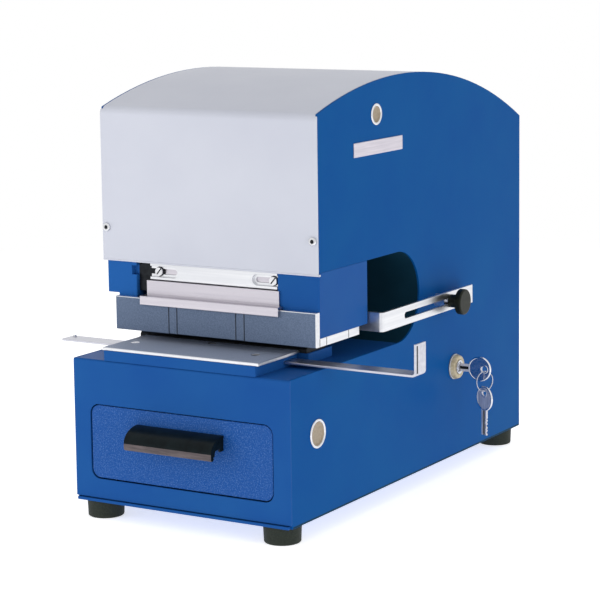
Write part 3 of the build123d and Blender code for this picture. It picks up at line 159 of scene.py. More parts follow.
def cutBy(piece, cutter):
    applyModifier(piece, "BOOLEAN", {"operation": "DIFFERENCE", "object": cutter, "solver": "EXACT"})
    clearSelection()
    cutter.select_set(True)
    bpy.ops.object.delete()


def join(pieces, name):
    pick(pieces[0])
    for piece in pieces[1:]:
        piece.select_set(True)
    bpy.ops.object.join()
    pieces[0].name = name
    return pieces[0]


def ring(name, centre, direction, major, minor, flat=1.0):
    bpy.ops.mesh.primitive_torus_add(
        major_radius=major, minor_radius=minor, major_segments=72, minor_segments=14)
    piece = bpy.context.object
    piece.name = name
    piece.scale.z = flat
    piece.location = centre
    piece.rotation_euler = Vector(direction).to_track_quat("Z", "Y").to_euler()
    settle(piece)
    smooth(piece, 60)
    return piece


def wire(name, points, radius):
    curve = bpy.data.curves.new(name, "CURVE")
    curve.dimensions = "3D"
    curve.bevel_depth = radius
    curve.bevel_resolution = 3
    curve.use_fill_caps = True
    spline = curve.splines.new("POLY")
    spline.points.add(len(points) - 1)
    for slot, point in zip(spline.points, points):
        slot.co = (*point, 1)
    piece = bpy.data.objects.new(name, curve)
    bpy.context.scene.collection.objects.link(piece)
    pick(piece)
    bpy.ops.object.convert(target="MESH")
    piece = bpy.context.object
    smooth(piece, 60)
    return piece


def giveFaces(piece, material, test):
    piece.data.materials.append(material)
    index = len(piece.data.materials) - 1
    for face in piece.data.polygons:
        if test(face):
            face.material_index = index


# Materials, each named after the real one.

def linear(hexColour):
    values = [int(hexColour[i:i + 2], 16) / 255 for i in (1, 3, 5)]
    return [v / 12.92 if v <= 0.04045 else ((v + 0.055) / 1.055) ** 2.4 for v in values] + [1.0]


def addNode(material, kind, settings, links=()):
    node = material.node_tree.nodes.new(kind)
    for key, value in settings.items():
        if key in node.inputs:
            node.inputs[key].default_value = value
        else:
            setattr(node, key, value)
    for socket, source in dict(links).items():
        material.node_tree.links.new(source, node.inputs[socket])
    return node


def newMaterial(name, shader):
    material = bpy.data.materials.new(name)
    material.use_nodes = True
    principled = material.node_tree.nodes["Principled BSDF"]
    for key, value in shader.items():
        principled.inputs[key].default_value = value
    return material, principled


def objectPoints(material, stretch=(1, 1, 1)):
    place = addNode(material, "ShaderNodeTexCoord", {})
    mapping = addNode(material, "ShaderNodeMapping", {"Scale": stretch}, {"Vector": place.outputs["Object"]})
    return mapping.outputs[0]


def mottle(material, principled, points, darkHex, lightHex, size, spread=(0.3, 0.7), detail=3.0):
    noise = addNode(material, "ShaderNodeTexNoise", {"Scale": 1 / size, "Detail": detail}, {"Vector": points})
    ramp = addNode(material, "ShaderNodeValToRGB", {}, {"Fac": noise.outputs["Fac"]})
    ramp.color_ramp.elements[0].position, ramp.color_ramp.elements[1].position = spread
    ramp.color_ramp.elements[0].color = linear(darkHex)
    ramp.color_ramp.elements[1].color = linear(lightHex)
    material.node_tree.links.new(ramp.outputs["Color"], principled.inputs["Base Color"])
    return noise


def roughen(material, principled, points, size, low, high):
    noise = addNode(material, "ShaderNodeTexNoise", {"Scale": 1 / size, "Detail": 2.0}, {"Vector": points})
    spread = addNode(material, "ShaderNodeMapRange", {"To Min": low, "To Max": high},
                     {"Value": noise.outputs["Fac"]})
    material.node_tree.links.new(spread.outputs["Result"], principled.inputs["Roughness"])


def bump(material, principled, height, depth, strength):
    node = addNode(material, "ShaderNodeBump", {"Strength": strength, "Distance": depth}, {"Height": height})
    material.node_tree.links.new(node.outputs["Normal"], principled.inputs["Normal"])


# Powder coat on steel: even, light grey, with a fine sprayed grain and a soft sheen.
def greyPowderCoat():
    look = {"dark": "#C9CCD8", "light": "#CED1DC", "grain": 0.9 * mm, "cloud": 70 * mm}
    material, shader = newMaterial("greyPowderCoat", {"IOR": 1.5, "Specular IOR Level": 0.2})
    points = objectPoints(material)
    mottle(material, shader, points, look["dark"], look["light"], look["cloud"])
    roughen(material, shader, points, size=8 * mm, low=0.42, high=0.5)
    grain = addNode(material, "ShaderNodeTexNoise", {"Scale": 1 / look["grain"], "Detail": 2.0},
                    {"Vector": points})
    bump(material, shader, grain.outputs["Fac"], depth=0.05 * mm, strength=0.5)
    return material


# Stoved enamel: deep even blue with the slight waviness of sprayed paint.
def blueEnamel(name="blueEnamel", dark="#1B5096", light="#1F5799", roughness=(0.3, 0.38), shine=0.035):
    look = {"peel": 3 * mm, "cloud": 60 * mm, "peelDepth": 0.05 * mm, "sheenPatch": 12 * mm}
    material, shader = newMaterial(name, {"IOR": 1.5, "Specular IOR Level": shine})
    points = objectPoints(material)
    mottle(material, shader, points, dark, light, look["cloud"])
    roughen(material, shader, points, look["sheenPatch"], *roughness)
    peel = addNode(material, "ShaderNodeTexNoise", {"Scale": 1 / look["peel"], "Detail": 1.0},
                   {"Vector": points})
    bump(material, shader, peel.outputs["Fac"], look["peelDepth"], strength=0.4)
    return material


# Hammered enamel: pulled into small raised drops, with a painted highlight that makes them lighter on their
# tops.
def hammeredEnamel():
    look = {"dark": "#1B4F97", "light": "#6187C4", "drop": 1.05 * mm, "depth": 0.3 * mm}
    material, shader = newMaterial("hammeredEnamel",
                                   {"IOR": 1.5, "Specular IOR Level": 0.08, "Roughness": 0.3})
    points = objectPoints(material)
    drops = mottle(material, shader, points, look["dark"], look["light"], look["drop"],
                   spread=(0.5, 0.86), detail=2.0)
    bump(material, shader, drops.outputs["Fac"], look["depth"], strength=0.9)
    return material


# Blue-grey lacquer on the tool and the table: speckled by its metal flake.
def toolLacquer(name="toolLacquer", dark="#56667F", light="#6A7A94"):
    material, shader = newMaterial(name, {"IOR": 1.5, "Specular IOR Level": 0.22, "Roughness": 0.5})
    points = objectPoints(material)
    flakes = mottle(material, shader, points, dark, light, size=0.7 * mm, spread=(0.35, 0.65))
    bump(material, shader, flakes.outputs["Fac"], depth=0.04 * mm, strength=0.5)
    return material


# Ground steel: bright, with fine straight grinding lines along one axis.
def groundSteel(name="groundSteel", dark="#D2D4D9", light="#E6E7EA", lines=(0.02, 1, 1),
                roughness=(0.24, 0.38)):
    look = {"line": 0.5 * mm, "streak": 3 * mm}
    material, shader = newMaterial(name, {"Metallic": 1.0})
    points = objectPoints(material, lines)
    mottle(material, shader, points, dark, light, look["streak"], spread=(0.25, 0.75), detail=4.0)
    roughen(material, shader, points, look["line"], *roughness)
    scratch = addNode(material, "ShaderNodeTexNoise", {"Scale": 1 / look["line"], "Detail": 3.0},
                      {"Vector": points})
    bump(material, shader, scratch.outputs["Fac"], depth=0.01 * mm, strength=0.3)
    return material


# Nickel plate: pale and almost a mirror, with faint handling marks.
def nickelPlate(name="nickelPlate", dark="#B7B9C2", light="#D6D8DF", roughness=(0.16, 0.28)):
    material, shader = newMaterial(name, {"Metallic": 1.0})
    points = objectPoints(material)
    look = {"cloud": 6 * mm, "mark": 2 * mm}
    mottle(material, shader, points, dark, light, look["cloud"])
    roughen(material, shader, points, look["mark"], *roughness)
    return material


# Pale satin steel: the lands of a key blade, bright and a little rough.
def paleSatinSteel():
    material, shader = newMaterial("paleSatinSteel", {"Metallic": 0.5})
    points = objectPoints(material, stretch=(1, 1, 0.1))
    mottle(material, shader, points, "#C2C1C8", "#E4E3E8", size=1.5 * mm)
    roughen(material, shader, points, size=0.5 * mm, low=0.4, high=0.6)
    return material


# Satin nickel: the lock's turned rosette, warm and too dull to mirror the blue around it.
def satinNickel():
    material, shader = newMaterial("satinNickel", {"Metallic": 0.45})
    points = objectPoints(material)
    mottle(material, shader, points, "#A89A7C", "#C6BA9E", size=2.5 * mm)
    roughen(material, shader, points, size=1.5 * mm, low=0.36, high=0.5)
    return material


# Blackened tool steel: near black with an oily satin shine.
def blackenedSteel():
    material, shader = newMaterial("blackenedSteel", {"Metallic": 0.8})
    points = objectPoints(material)
    mottle(material, shader, points, "#16191D", "#26292D", size=4 * mm)
    roughen(material, shader, points, size=3 * mm, low=0.38, high=0.5)
    return material


# Moulded rubber: dull near-black with a fine matt skin.
def mouldedRubber():
    material, shader = newMaterial("mouldedRubber", {"IOR": 1.52, "Specular IOR Level": 0.15})
    points = objectPoints(material)
    skin = mottle(material, shader, points, "#232824", "#30362F", size=1.2 * mm)
    roughen(material, shader, points, size=5 * mm, low=0.52, high=0.68)
    bump(material, shader, skin.outputs["Fac"], depth=0.05 * mm, strength=0.6)
    return material


# Moulded ABS: smooth black plastic with a gloss that breaks up slightly.
def blackAbs():
    material, shader = newMaterial("blackAbs", {"IOR": 1.53, "Specular IOR Level": 0.08})
    points = objectPoints(material)
    mottle(material, shader, points, "#080F12", "#101A1D", size=9 * mm)
    roughen(material, shader, points, size=4 * mm, low=0.26, high=0.36)
    return material


# Warm grey ABS on the lip along the front of the drawer pull: a painted highlight where the black lip catches
# light from below.
def lipHighlightAbs():
    material, shader = newMaterial("lipHighlightAbs", {"IOR": 1.53, "Specular IOR Level": 0.2})
    points = objectPoints(material, stretch=(0.15, 1, 1))
    mottle(material, shader, points, "#4F4749", "#675D5E", size=2 * mm)
    roughen(material, shader, points, size=3 * mm, low=0.34, high=0.46)
    return material


# Phenolic resin: pressed dark knob, faintly olive, with a worn satin face.
def phenolicResin():
    material, shader = newMaterial("phenolicResin", {"IOR": 1.6, "Specular IOR Level": 0.12})
    points = objectPoints(material)
    mottle(material, shader, points, "#0C0F0B", "#1B2116", size=3 * mm)
    roughen(material, shader, points, size=2 * mm, low=0.3, high=0.44)
    return material


# Nylon: the beige, slightly waxy centre of a snap-in plug.
def beigeNylon():
    material, shader = newMaterial("beigeNylon", {"IOR": 1.53, "Specular IOR Level": 0.4, "Roughness": 0.5})
    points = objectPoints(material)
    skin = mottle(material, shader, points, "#948674", "#A69884", size=2 * mm)
    bump(material, shader, skin.outputs["Fac"], depth=0.03 * mm, strength=0.4)
    return material


# Anodised aluminium: pale plate with a fine even grain.
def anodisedPlate():
    material, shader = newMaterial("anodisedPlate", {"Metallic": 0.6})
    points = objectPoints(material, stretch=(1, 0.05, 1))
    mottle(material, shader, points, "#CAC5CF", "#DCD6DF", size=1.5 * mm)
    roughen(material, shader, points, size=0.6 * mm, low=0.32, high=0.44)
    return material


# Sintered bronze: the bushes of the shaft, brown and finely porous.
def sinteredBronze():
    material, shader = newMaterial("sinteredBronze", {"Metallic": 1.0})
    points = objectPoints(material)
    pores = mottle(material, shader, points, "#8A6838", "#A98350", size=0.8 * mm)
    roughen(material, shader, points, size=1 * mm, low=0.35, high=0.5)
    bump(material, shader, pores.outputs["Fac"], depth=0.03 * mm, strength=0.5)
    return material


# Cast aluminium: the motor's housing, dull grey with a sandy skin.
def castAluminium():
    material, shader = newMaterial("castAluminium", {"Metallic": 0.9})
    points = objectPoints(material)
    cast = mottle(material, shader, points, "#8E9093", "#A5A7AA", size=1.4 * mm)
    roughen(material, shader, points, size=2 * mm, low=0.42, high=0.58)
    bump(material, shader, cast.outputs["Fac"], depth=0.08 * mm, strength=0.5)
    return material


# Glass-fibre laminate: the green sheet of the control board.
def glassLaminate():
    material, shader = newMaterial("glassLaminate", {"IOR": 1.5, "Roughness": 0.4})
    points = objectPoints(material)
    mottle(material, shader, points, "#1C4A2C", "#256039", size=1.0 * mm)
    return material


# Black nylon: the socket at the back, finely pebbled.
def blackNylon():
    material, shader = newMaterial("blackNylon", {"IOR": 1.53, "Specular IOR Level": 0.4})
    points = objectPoints(material)
    skin = mottle(material, shader, points, "#121314", "#1D1F20", size=1.0 * mm)
    roughen(material, shader, points, size=3 * mm, low=0.4, high=0.52)
    bump(material, shader, skin.outputs["Fac"], depth=0.04 * mm, strength=0.5)
    return material


powderCoat = greyPowderCoat()
enamel = blueEnamel()
# The same enamel with light and shade painted in: painted shade in the throat and on the side panels, painted
# light on the left cheek.
shadedThroatEnamel = blueEnamel("shadedThroatEnamel", "#11303F", "#173B4D", roughness=(0.4, 0.5))
litCheekEnamel = blueEnamel("litCheekEnamel", "#205AA2", "#2560A8")
shadedSideEnamel = blueEnamel("shadedSideEnamel", "#0A4D90", "#0E5392", shine=0.018)
hammered = hammeredEnamel()
lacquer = toolLacquer()
# The same lacquer painted lighter for the paper table: painted light.
litTableLacquer = toolLacquer("litTableLacquer", "#8791A7", "#9AA4B7")
# The grinding lines run along the axis whose value in lines is small.
steelAlongX = groundSteel()
guardSteel = groundSteel("guardSteel", "#BDB9C2", "#CECAD1")
rulerSteel = groundSteel("rulerSteel", "#B9BAC4", "#D2D2D9", roughness=(0.28, 0.42))
steelAlongY = groundSteel("groundSteelAlongY", lines=(1, 0.02, 1))
plainSteel = groundSteel("plainSteel", "#6E7074", "#85878B", lines=(1, 1, 0.05), roughness=(0.35, 0.5))
nickel = nickelPlate()
chrome = nickelPlate("brightChrome", "#D2D3D6", "#E6E7EA", roughness=(0.06, 0.14))
blackSteel = blackenedSteel()
rubber = mouldedRubber()
glossPlastic = blackAbs()
resin = phenolicResin()
nylon = beigeNylon()
anodised = anodisedPlate()
bronze = sinteredBronze()
castMetal = castAluminium()
laminate = glassLaminate()
socketNylon = blackNylon()
lipHighlightPlastic = lipHighlightAbs()
rosetteNickel = satinNickel()
bladeSteel = paleSatinSteel()
# Grey paint in the tool's two grooves with light and shade painted in: painted shade on their floor, a
# painted highlight on the side that catches the light.
grooveShade = blueEnamel("grooveShade", "#262E3B", "#2E3746", roughness=(0.5, 0.6))
grooveHighlight = blueEnamel("grooveHighlight", "#8793A8", "#96A2B6", roughness=(0.4, 0.5))
print("materials made")

# The pieces that are drawn just as they come from the model.
nodeMaterials = {
    "frame_plates": plainSteel, "tie_rods": plainSteel, "lower_jaw_beam": plainSteel,
    "head_floor_plate": plainSteel, "front_crossbar": blackSteel, "foot_screws": chrome,
    "tool_screws": chrome, "guide_pillars": chrome, "pin_holder": blackSteel, "perforating_pins": chrome,
    "die_plate": blackSteel, "ram": plainSteel, "eccentric_shaft": steelAlongX, "shaft_bearings": bronze,
    "drive_gear": plainSteel, "idler_gear": plainSteel, "idler_axle": steelAlongX,
    "motor_bracket": plainSteel, "motor": castMetal, "motor_pinion": steelAlongX, "ruler_pin": chrome,
    "stop_stud": steelAlongX, "drawer_tray": powderCoat, "drawer_runners": plainSteel,
    "control_board": laminate, "power_inlet": socketNylon,
}
for node, material in nodeMaterials.items():
    nodes[node].data.materials.clear()
    nodes[node].data.materials.append(material)

# Skins and plates: the machine's own pieces with their real edge breaks.

skins = {
    # node: (new name, body, slot, material, edge radius in mm)
    "left_side_panel": ("leftSidePanel", "machine", "blue_paint", shadedSideEnamel, 0.7),
    "right_side_panel": ("rightSidePanel", "machine", "blue_paint", shadedSideEnamel, 0.7),
    "rear_panel": ("rearPanel", "machine", "blue_paint", enamel, 0.5),
    "bottom_plate": ("bottomPlate", "machine", "blue_paint", enamel, 0.6),
    "base_cover": ("baseCover", "machine", "blue_paint", enamel, 0.6),
    "front_cover": ("frontCover", "machine", "grey_paint", powderCoat, 0.5),
    "throat_liner": ("throatLiner", "machine", "blue_paint", shadedThroatEnamel, 0.4),
    "left_cheek": ("leftCheek", "machine", "blue_paint", litCheekEnamel, 0.8),
    "right_cheek": ("rightCheek", "machine", "blue_paint", enamel, 0.8),
    "table_support": ("tableSupport", "machine", "blue_paint", enamel, 0.6),
    "lock_bar": ("lockBar", "lock_bar", "bright_steel", steelAlongX, 0.25),
    "guard_plate": ("guardPlate", "machine", "bright_steel", guardSteel, 0.4),
    "guide_plate": ("guidePlate", "machine", "bright_steel", steelAlongY, 0.25),
    "tool_bars": ("toolBars", "machine", "bright_steel", steelAlongY, 0.25),
    "side_ruler": ("sideRuler", "ruler", "bright_steel", rulerSteel, 0.35),
    "die_block": ("dieBlock", "machine", "blue_paint", enamel, 0.4),
    "depth_stop": ("depthStop", "depth_stop", "bright_steel", steelAlongY, 0.4),
    "feet": ("rubberFeet", "machine", "foot_rubber", rubber, 0.8),
    "drawer_front": ("drawerFront", "drawer", "hammered_blue", hammered, 0.5),
    "stop_knob": ("stopKnob", "clamp_knob", "knob_plastic", resin, 0.5),
    "name_plate": ("namePlate", "machine", "name_plate_metal", anodised, 0.2),
}
for node, (name, body, slot, material, radius) in skins.items():
    piece = mergedCopy(node, name)
    softenEdges(piece, radius * mm)
    dress(piece, body, material, [node])
print("skins done")


# Pieces that need more than an edge break.

def nodeBox(node):
    low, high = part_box(node)
    return Vector(low), Vector(high), (Vector(low) + Vector(high)) / 2


def crossScrew(name, centre, direction, radius, height):
    look = {"edge": 0.3, "slotWidth": 0.24, "slotLength": 1.25, "slotDepth": 0.6}     # shares of the radius
    head = disc(name, centre, radius, height, direction, vertices=40)
    softenEdges(head, radius * look["edge"], segments=3)
    top = Vector(centre) + Vector(direction) * height
    turn = Vector(direction).to_track_quat("Z", "Y").to_euler()
    narrow, wide = look["slotWidth"], look["slotLength"]
    for width, length in ((narrow, wide), (wide, narrow)):
        bpy.ops.mesh.primitive_cube_add(size=1, location=top, rotation=turn)
        cutter = bpy.context.object
        cutter.scale = (radius * width, radius * length, radius * look["slotDepth"] * 2)
        settle(cutter)
        cutBy(head, cutter)
    return head


def makeCoverScrews():
    look = {"radius": 3.75 * mm, "socket": 1.9 * mm, "depth": 1 * mm, "edge": 0.3 * mm,
            "floor": 1.8 * mm, "floorThick": 0.3 * mm, "floorSunk": 0.05 * mm}
    low, high, middle = nodeBox("cover_screws")
    heads = mergedCopy("cover_screws", "coverScrewHeads")
    socketShades = []
    for x in (low.x + look["radius"], high.x - look["radius"]):
        bottom = low.y + look["depth"]
        cutter = disc("socketCut", (x, bottom, middle.z), look["socket"], 2 * look["depth"], toFront,
                      vertices=6)
        cutBy(heads, cutter)
        # A dark hexagon just inside each socket: painted shade on the socket's floor.
        place = (x, bottom + look["floorSunk"], middle.z)
        socketShades.append(disc("coverSocketShade", place, look["floor"], look["floorThick"], toFront, vertices=6))
    softenEdges(heads, look["edge"])
    dress(heads, "machine", chrome, ["cover_screws"])
    dress(join(socketShades, "coverSocketShades"), "machine", blackSteel)


def makeCoverHem():
    look = {"thick": 1.4 * mm, "proud": 0.4 * mm, "drop": 0.1 * mm, "overlap": 1 * mm, "edge": 0.4 * mm,
            "tabWidth": 1.2 * mm, "tabDepth": 3 * mm, "tabDrop": 0.2 * mm}
    low, high, _ = nodeBox("front_cover")
    top = low.z + look["thick"]
    hem = block("coverHem", (low.x, low.y - look["proud"], low.z - look["drop"]),
                (high.x, low.y + look["overlap"], top))
    tab = block("coverTab", (high.x - look["overlap"], low.y, low.z - look["tabDrop"]),
                (high.x + look["tabWidth"], low.y + look["tabDepth"], top))
    softenEdges(join([hem, tab], "coverHem"), look["edge"])
    dress(hem, "machine", powderCoat)


def extrudeOutline(name, outline, startX, length):
    mesh = bpy.data.meshes.new(name)
    mesh.from_pydata([(startX, y, z) for y, z in outline], [], [list(range(len(outline)))])
    piece = bpy.data.objects.new(name, mesh)
    bpy.context.scene.collection.objects.link(piece)
    pick(piece)
    bpy.ops.object.mode_set(mode="EDIT")
    bpy.ops.mesh.select_all(action="SELECT")
    bpy.ops.mesh.extrude_region_move(TRANSFORM_OT_translate={"value": (length, 0, 0)})
    bpy.ops.mesh.select_all(action="SELECT")
    bpy.ops.mesh.normals_make_consistent(inside=False)
    objectMode()
    return piece


def arc(centreY, centreZ, radiusY, radiusZ, start, end, steps):
    turns = [math.radians(start + (end - start) * step / steps) for step in range(steps + 1)]
    return [(centreY + radiusY * math.cos(turn), centreZ + radiusZ * math.sin(turn)) for turn in turns]


def makeHandle():
    look = {"wall": 2.4 * mm, "drop": 1.8 * mm, "edge": 0.35 * mm, "edgeAngle": 40,
            "lipHeight": 6.2 * mm, "lipRadius": 2.3 * mm, "lipRise": 2.2 * mm, "lipWeb": 3 * mm,
            "lipDepth": 3 * mm, "lipSlant": 0.15, "lipSide": 0.5,
            "cap": 2.2 * mm, "capInset": 0.5 * mm, "capMargin": 0.8 * mm,
            "footLift": 5.5 * mm, "toeLift": 3.3 * mm, "toe": 6.5 * mm, "foot": 5 * mm, "step": 1 * mm,
            "archFront": 2 * mm, "archBack": 3 * mm}
    low, high, _ = nodeBox("drawer_handle")
    low.z -= look["drop"]
    wall, front, back = look["wall"], low.y, high.y
    shoulderZ = low.z + look["lipHeight"]
    deep, tall = back - front, high.z - shoulderZ
    hookY, hookZ = front + look["lipRadius"], low.z + look["lipRadius"]
    outer = arc(back, shoulderZ, deep, tall, start=90, end=180, steps=28)
    hook = arc(hookY, hookZ, look["lipRadius"], look["lipRadius"], start=180, end=360, steps=12)
    inner = arc(back, shoulderZ, deep - wall, tall - wall, start=180, end=90, steps=24)
    hookTop = [(hookY + look["lipRadius"], hookZ + look["lipRise"]), (front + wall, hookZ + look["lipWeb"])]
    hood = extrudeOutline("handleHood", outer + hook + hookTop + inner, low.x, high.x - low.x)

    margin, footZ, toeZ = look["capMargin"], low.z + look["footLift"], low.z + look["toeLift"]
    toeY, footY, step = front + look["toe"], back - look["foot"], look["step"]
    capOutline = arc(back, shoulderZ, deep - margin, tall - margin, start=90, end=180, steps=28) + [
        (front + margin, toeZ), (toeY, toeZ), (toeY + step, footZ + look["archFront"]),
        (footY - step, footZ + look["archBack"]), (footY, footZ), (back, footZ)]
    caps = [extrudeOutline("handleCap", capOutline, x, look["cap"])
            for x in (low.x + look["capInset"], high.x - look["capInset"] - look["cap"])]
    for piece in (hood, *caps):
        softenEdges(piece, look["edge"], angle=look["edgeAngle"])
    handle = join([hood, *caps], "drawerHandle")
    dress(handle, "drawer", glossPlastic, ["drawer_handle"])

    def isLip(face):
        facesFront = face.normal.y < -look["lipSlant"] and abs(face.normal.x) < look["lipSide"]
        return facesFront and face.center.z < shoulderZ and face.center.y < front + look["lipDepth"]

    # The lip's front faces take the warm grey: a painted highlight.
    giveFaces(handle, lipHighlightPlastic, isLip)


# Half of the 23.5 mm that a key's bow is across.
bowRadius = 11.75 * mm


# Made around the bow's centre, with the blade towards -x and the hole towards +x, then turned into place.
def makeKey(name, node, body, centre, outward, normal, bladeLength, bowMetal):
    look = {"bowInset": 0.3 * mm, "bowHalf": 0.75 * mm, "bowEdge": 0.15 * mm,
            "hole": 2.75 * mm, "holeOffset": 5 * mm, "rim": 0.95 * mm, "rimFlat": 1.15,
            "eyelet": 0.75 * mm, "eyeletGap": 0.85 * mm, "eyeletFlat": 1.35,
            "bladeHalf": 3.5 * mm, "bladeHalfThick": 1.0 * mm, "bladeEdge": 0.25 * mm,
            "bladeRoot": 2 * mm,
            "grooveHalf": 1.4 * mm, "grooveFloor": 0.3 * mm, "grooveRoot": 0.5 * mm,
            "pitch": 3.2 * mm, "firstNotch": 0.8, "notch": 2.2 * mm, "notchHeight": 3}
    # How far the centre of each notch lies outside the blade's edge, in mm.
    notches = (0.1, 0.5, -0.1, 0.3, 0.6)
    reach = 2 * mm
    bow = disc("bow", (0, 0, -look["bowHalf"]), bowRadius - look["bowInset"], 2 * look["bowHalf"], upward,
               vertices=96)
    cutBy(bow, disc("cut", (look["holeOffset"], 0, -reach), look["hole"], 2 * reach, upward, vertices=48))
    tip = -bowRadius - bladeLength
    blade = block("blade", (tip, -look["bladeHalf"], -look["bladeHalfThick"]),
                  (look["bladeRoot"] - bowRadius, look["bladeHalf"], look["bladeHalfThick"]))
    for lowZ, highZ in ((-reach, -look["grooveFloor"]), (look["grooveFloor"], reach)):
        cutBy(blade, block("groove", (tip - reach, -look["grooveHalf"], lowZ),
                           (look["grooveRoot"] - bowRadius, look["grooveHalf"], highZ)))
    for index, rise in enumerate(notches):
        place = (tip + (index + look["firstNotch"]) * look["pitch"], look["bladeHalf"] + rise * mm, 0)
        bpy.ops.mesh.primitive_cube_add(size=look["notch"], rotation=(0, 0, math.radians(45)), location=place)
        cutter = bpy.context.object
        cutter.scale.z = look["notchHeight"]
        settle(cutter)
        cutBy(blade, cutter)
    softenEdges(blade, look["bladeEdge"])
    softenEdges(bow, look["bowEdge"])
    for piece, metal in ((bow, bowMetal), (blade, bladeSteel)):
        piece.data.materials.clear()
        piece.data.materials.append(metal)

    # Blackened steel on the groove floors: painted shade in the blade's grooves.
    def isShadedGrooveFloor(face):
        return (abs(face.center.y) < look["grooveHalf"] and abs(face.normal.z) > straight
                and abs(face.center.z) < look["bladeHalfThick"] / 2)

    giveFaces(blade, blackSteel, isShadedGrooveFloor)
    rim = ring("rim", (0, 0, 0), upward, bowRadius - look["rim"], look["rim"], look["rimFlat"])
    eyelet = ring("eyelet", (look["holeOffset"], 0, 0), upward, look["hole"] + look["eyeletGap"],
                  look["eyelet"], look["eyeletFlat"])
    for piece in (rim, eyelet):
        piece.data.materials.append(chrome)
    key = join([bow, blade, rim, eyelet], name)
    outward, normal = Vector(outward), Vector(normal)
    turn = Matrix((outward, normal.cross(outward), normal)).transposed().to_4x4()
    key.matrix_world = Matrix.Translation(centre) @ turn
    settle(key)
    dress(key, body, None, [node])


def makeKeys():
    look = {"lean": 26, "lockBlade": 33.6 * mm, "spareBlade": 23 * mm, "ringWire": 0.42 * mm,
            "ringInset": 0.75 * mm, "ringStart": 0.6, "ringTurns": 2, "ringPitch": 0.8 * mm, "steps": 144}
    turn = math.radians(look["lean"])
    along = Vector((math.sin(turn), math.cos(turn), 0))
    _, high, middle = nodeBox("key")
    makeKey("lockKey", "key", "lock", (high.x - bowRadius, middle.y, middle.z), toRight, toFront,
            look["lockBlade"], nickel)
    _, high, middle = nodeBox("spare_key")
    makeKey("spareKey", "spare_key", "spare_key", (middle.x, middle.y, high.z - bowRadius), upward, along,
            look["spareBlade"], bladeSteel)

    low, high, middle = nodeBox("key_ring")
    radius = (high.z - low.z) / 2 - look["ringInset"]
    across = along.cross(Vector(upward))
    points = []
    for step in range(look["steps"] + 1):
        share = step / look["steps"]
        angle = look["ringStart"] + 2 * math.pi * look["ringTurns"] * share
        outward = math.cos(angle) * along + math.sin(angle) * Vector(upward)
        points.append(middle + radius * outward + (share - 0.5) * look["ringPitch"] * across)
    dress(wire("splitRing", points, look["ringWire"]), "key_ring", nickel, ["key_ring"])


def makeLockFace():
    look = {"flange": 5.5 * mm, "foot": 12.0 * mm, "face": 10.4 * mm, "edge": 1.3 * mm, "soft": 0.9 * mm,
            "bore": 6.6 * mm, "boreLength": 60 * mm, "rim": 0.6 * mm, "rimShare": 0.7,
            "gap": 0.01 * mm, "reach": 1 * mm}
    low, high, middle = nodeBox("lock_body")
    footX = high.x - look["flange"]
    reach = Vector((look["reach"], look["reach"], look["reach"]))
    barrel = mergedCopy("lock_body", "lockBarrel")
    cutBy(barrel, block("cut", (footX + look["gap"], low.y - reach.y, low.z - reach.z), high + reach))
    dress(barrel, "machine", nickel, ["lock_body"])
    coneDepth = look["flange"] - look["edge"]
    bpy.ops.mesh.primitive_cone_add(
        vertices=96, radius1=look["foot"], radius2=look["face"], depth=coneDepth, end_fill_type="NGON",
        rotation=(0, math.pi / 2, 0), location=(high.x - coneDepth / 2, middle.y, middle.z))
    rosette = bpy.context.object
    settle(rosette)
    foot = disc("rosetteFoot", (footX, middle.y, middle.z), look["foot"], look["edge"], toRight, vertices=96)
    for piece in (rosette, foot):
        cutBy(piece, disc("bore", (low.x, middle.y, middle.z), look["bore"], look["boreLength"], toRight))
        softenEdges(piece, look["soft"], segments=4)
    rim = ring("rosetteRim", (footX + look["edge"] * look["rimShare"], middle.y, middle.z), toRight,
               look["foot"] - look["rim"], look["rim"])
    dress(join([rosette, foot], "lockRosette"), "machine", rosetteNickel)
    dress(rim, "machine", chrome)
    makeLockPlug(high, middle)


def makeLockPlug(high, middle):
    look = {"edge": 0.3 * mm, "swirl": 4.4 * mm, "swirlWide": 1.1, "span": 96, "steps": 16,
            "ridge": 0.75 * mm, "ridgeRise": 0.6 * mm, "guard": 3.6 * mm, "guardRise": 1.6 * mm,
            "guardEdge": 0.2 * mm, "slotHalf": 1.3 * mm, "slotRise": 3.8 * mm, "slotReach": 5 * mm}
    plug = mergedCopy("lock_cylinder", "lockPlug")
    softenEdges(plug, look["edge"])
    ridges = []
    for turn in (40, 160, 280):
        points = []
        for step in range(look["steps"] + 1):
            angle = math.radians(turn + look["span"] * (step / look["steps"] - 0.5))
            y = middle.y + look["swirl"] * math.cos(angle) * look["swirlWide"]
            points.append((high.x + look["ridgeRise"], y, middle.z + look["swirl"] * math.sin(angle)))
        ridges.append(wire("lockRidge", points, look["ridge"]))
    place = Vector((high.x, middle.y, middle.z))
    guard = disc("keyGuard", place, look["guard"], look["guardRise"], toRight, vertices=6)
    slot = Vector((look["slotReach"], look["slotHalf"], look["slotRise"]))
    cutBy(guard, block("cut", place - slot, place + slot))
    softenEdges(guard, look["guardEdge"])
    dress(join([plug, guard, *ridges], "lockPlug"), "lock", nickel, ["lock_cylinder"])


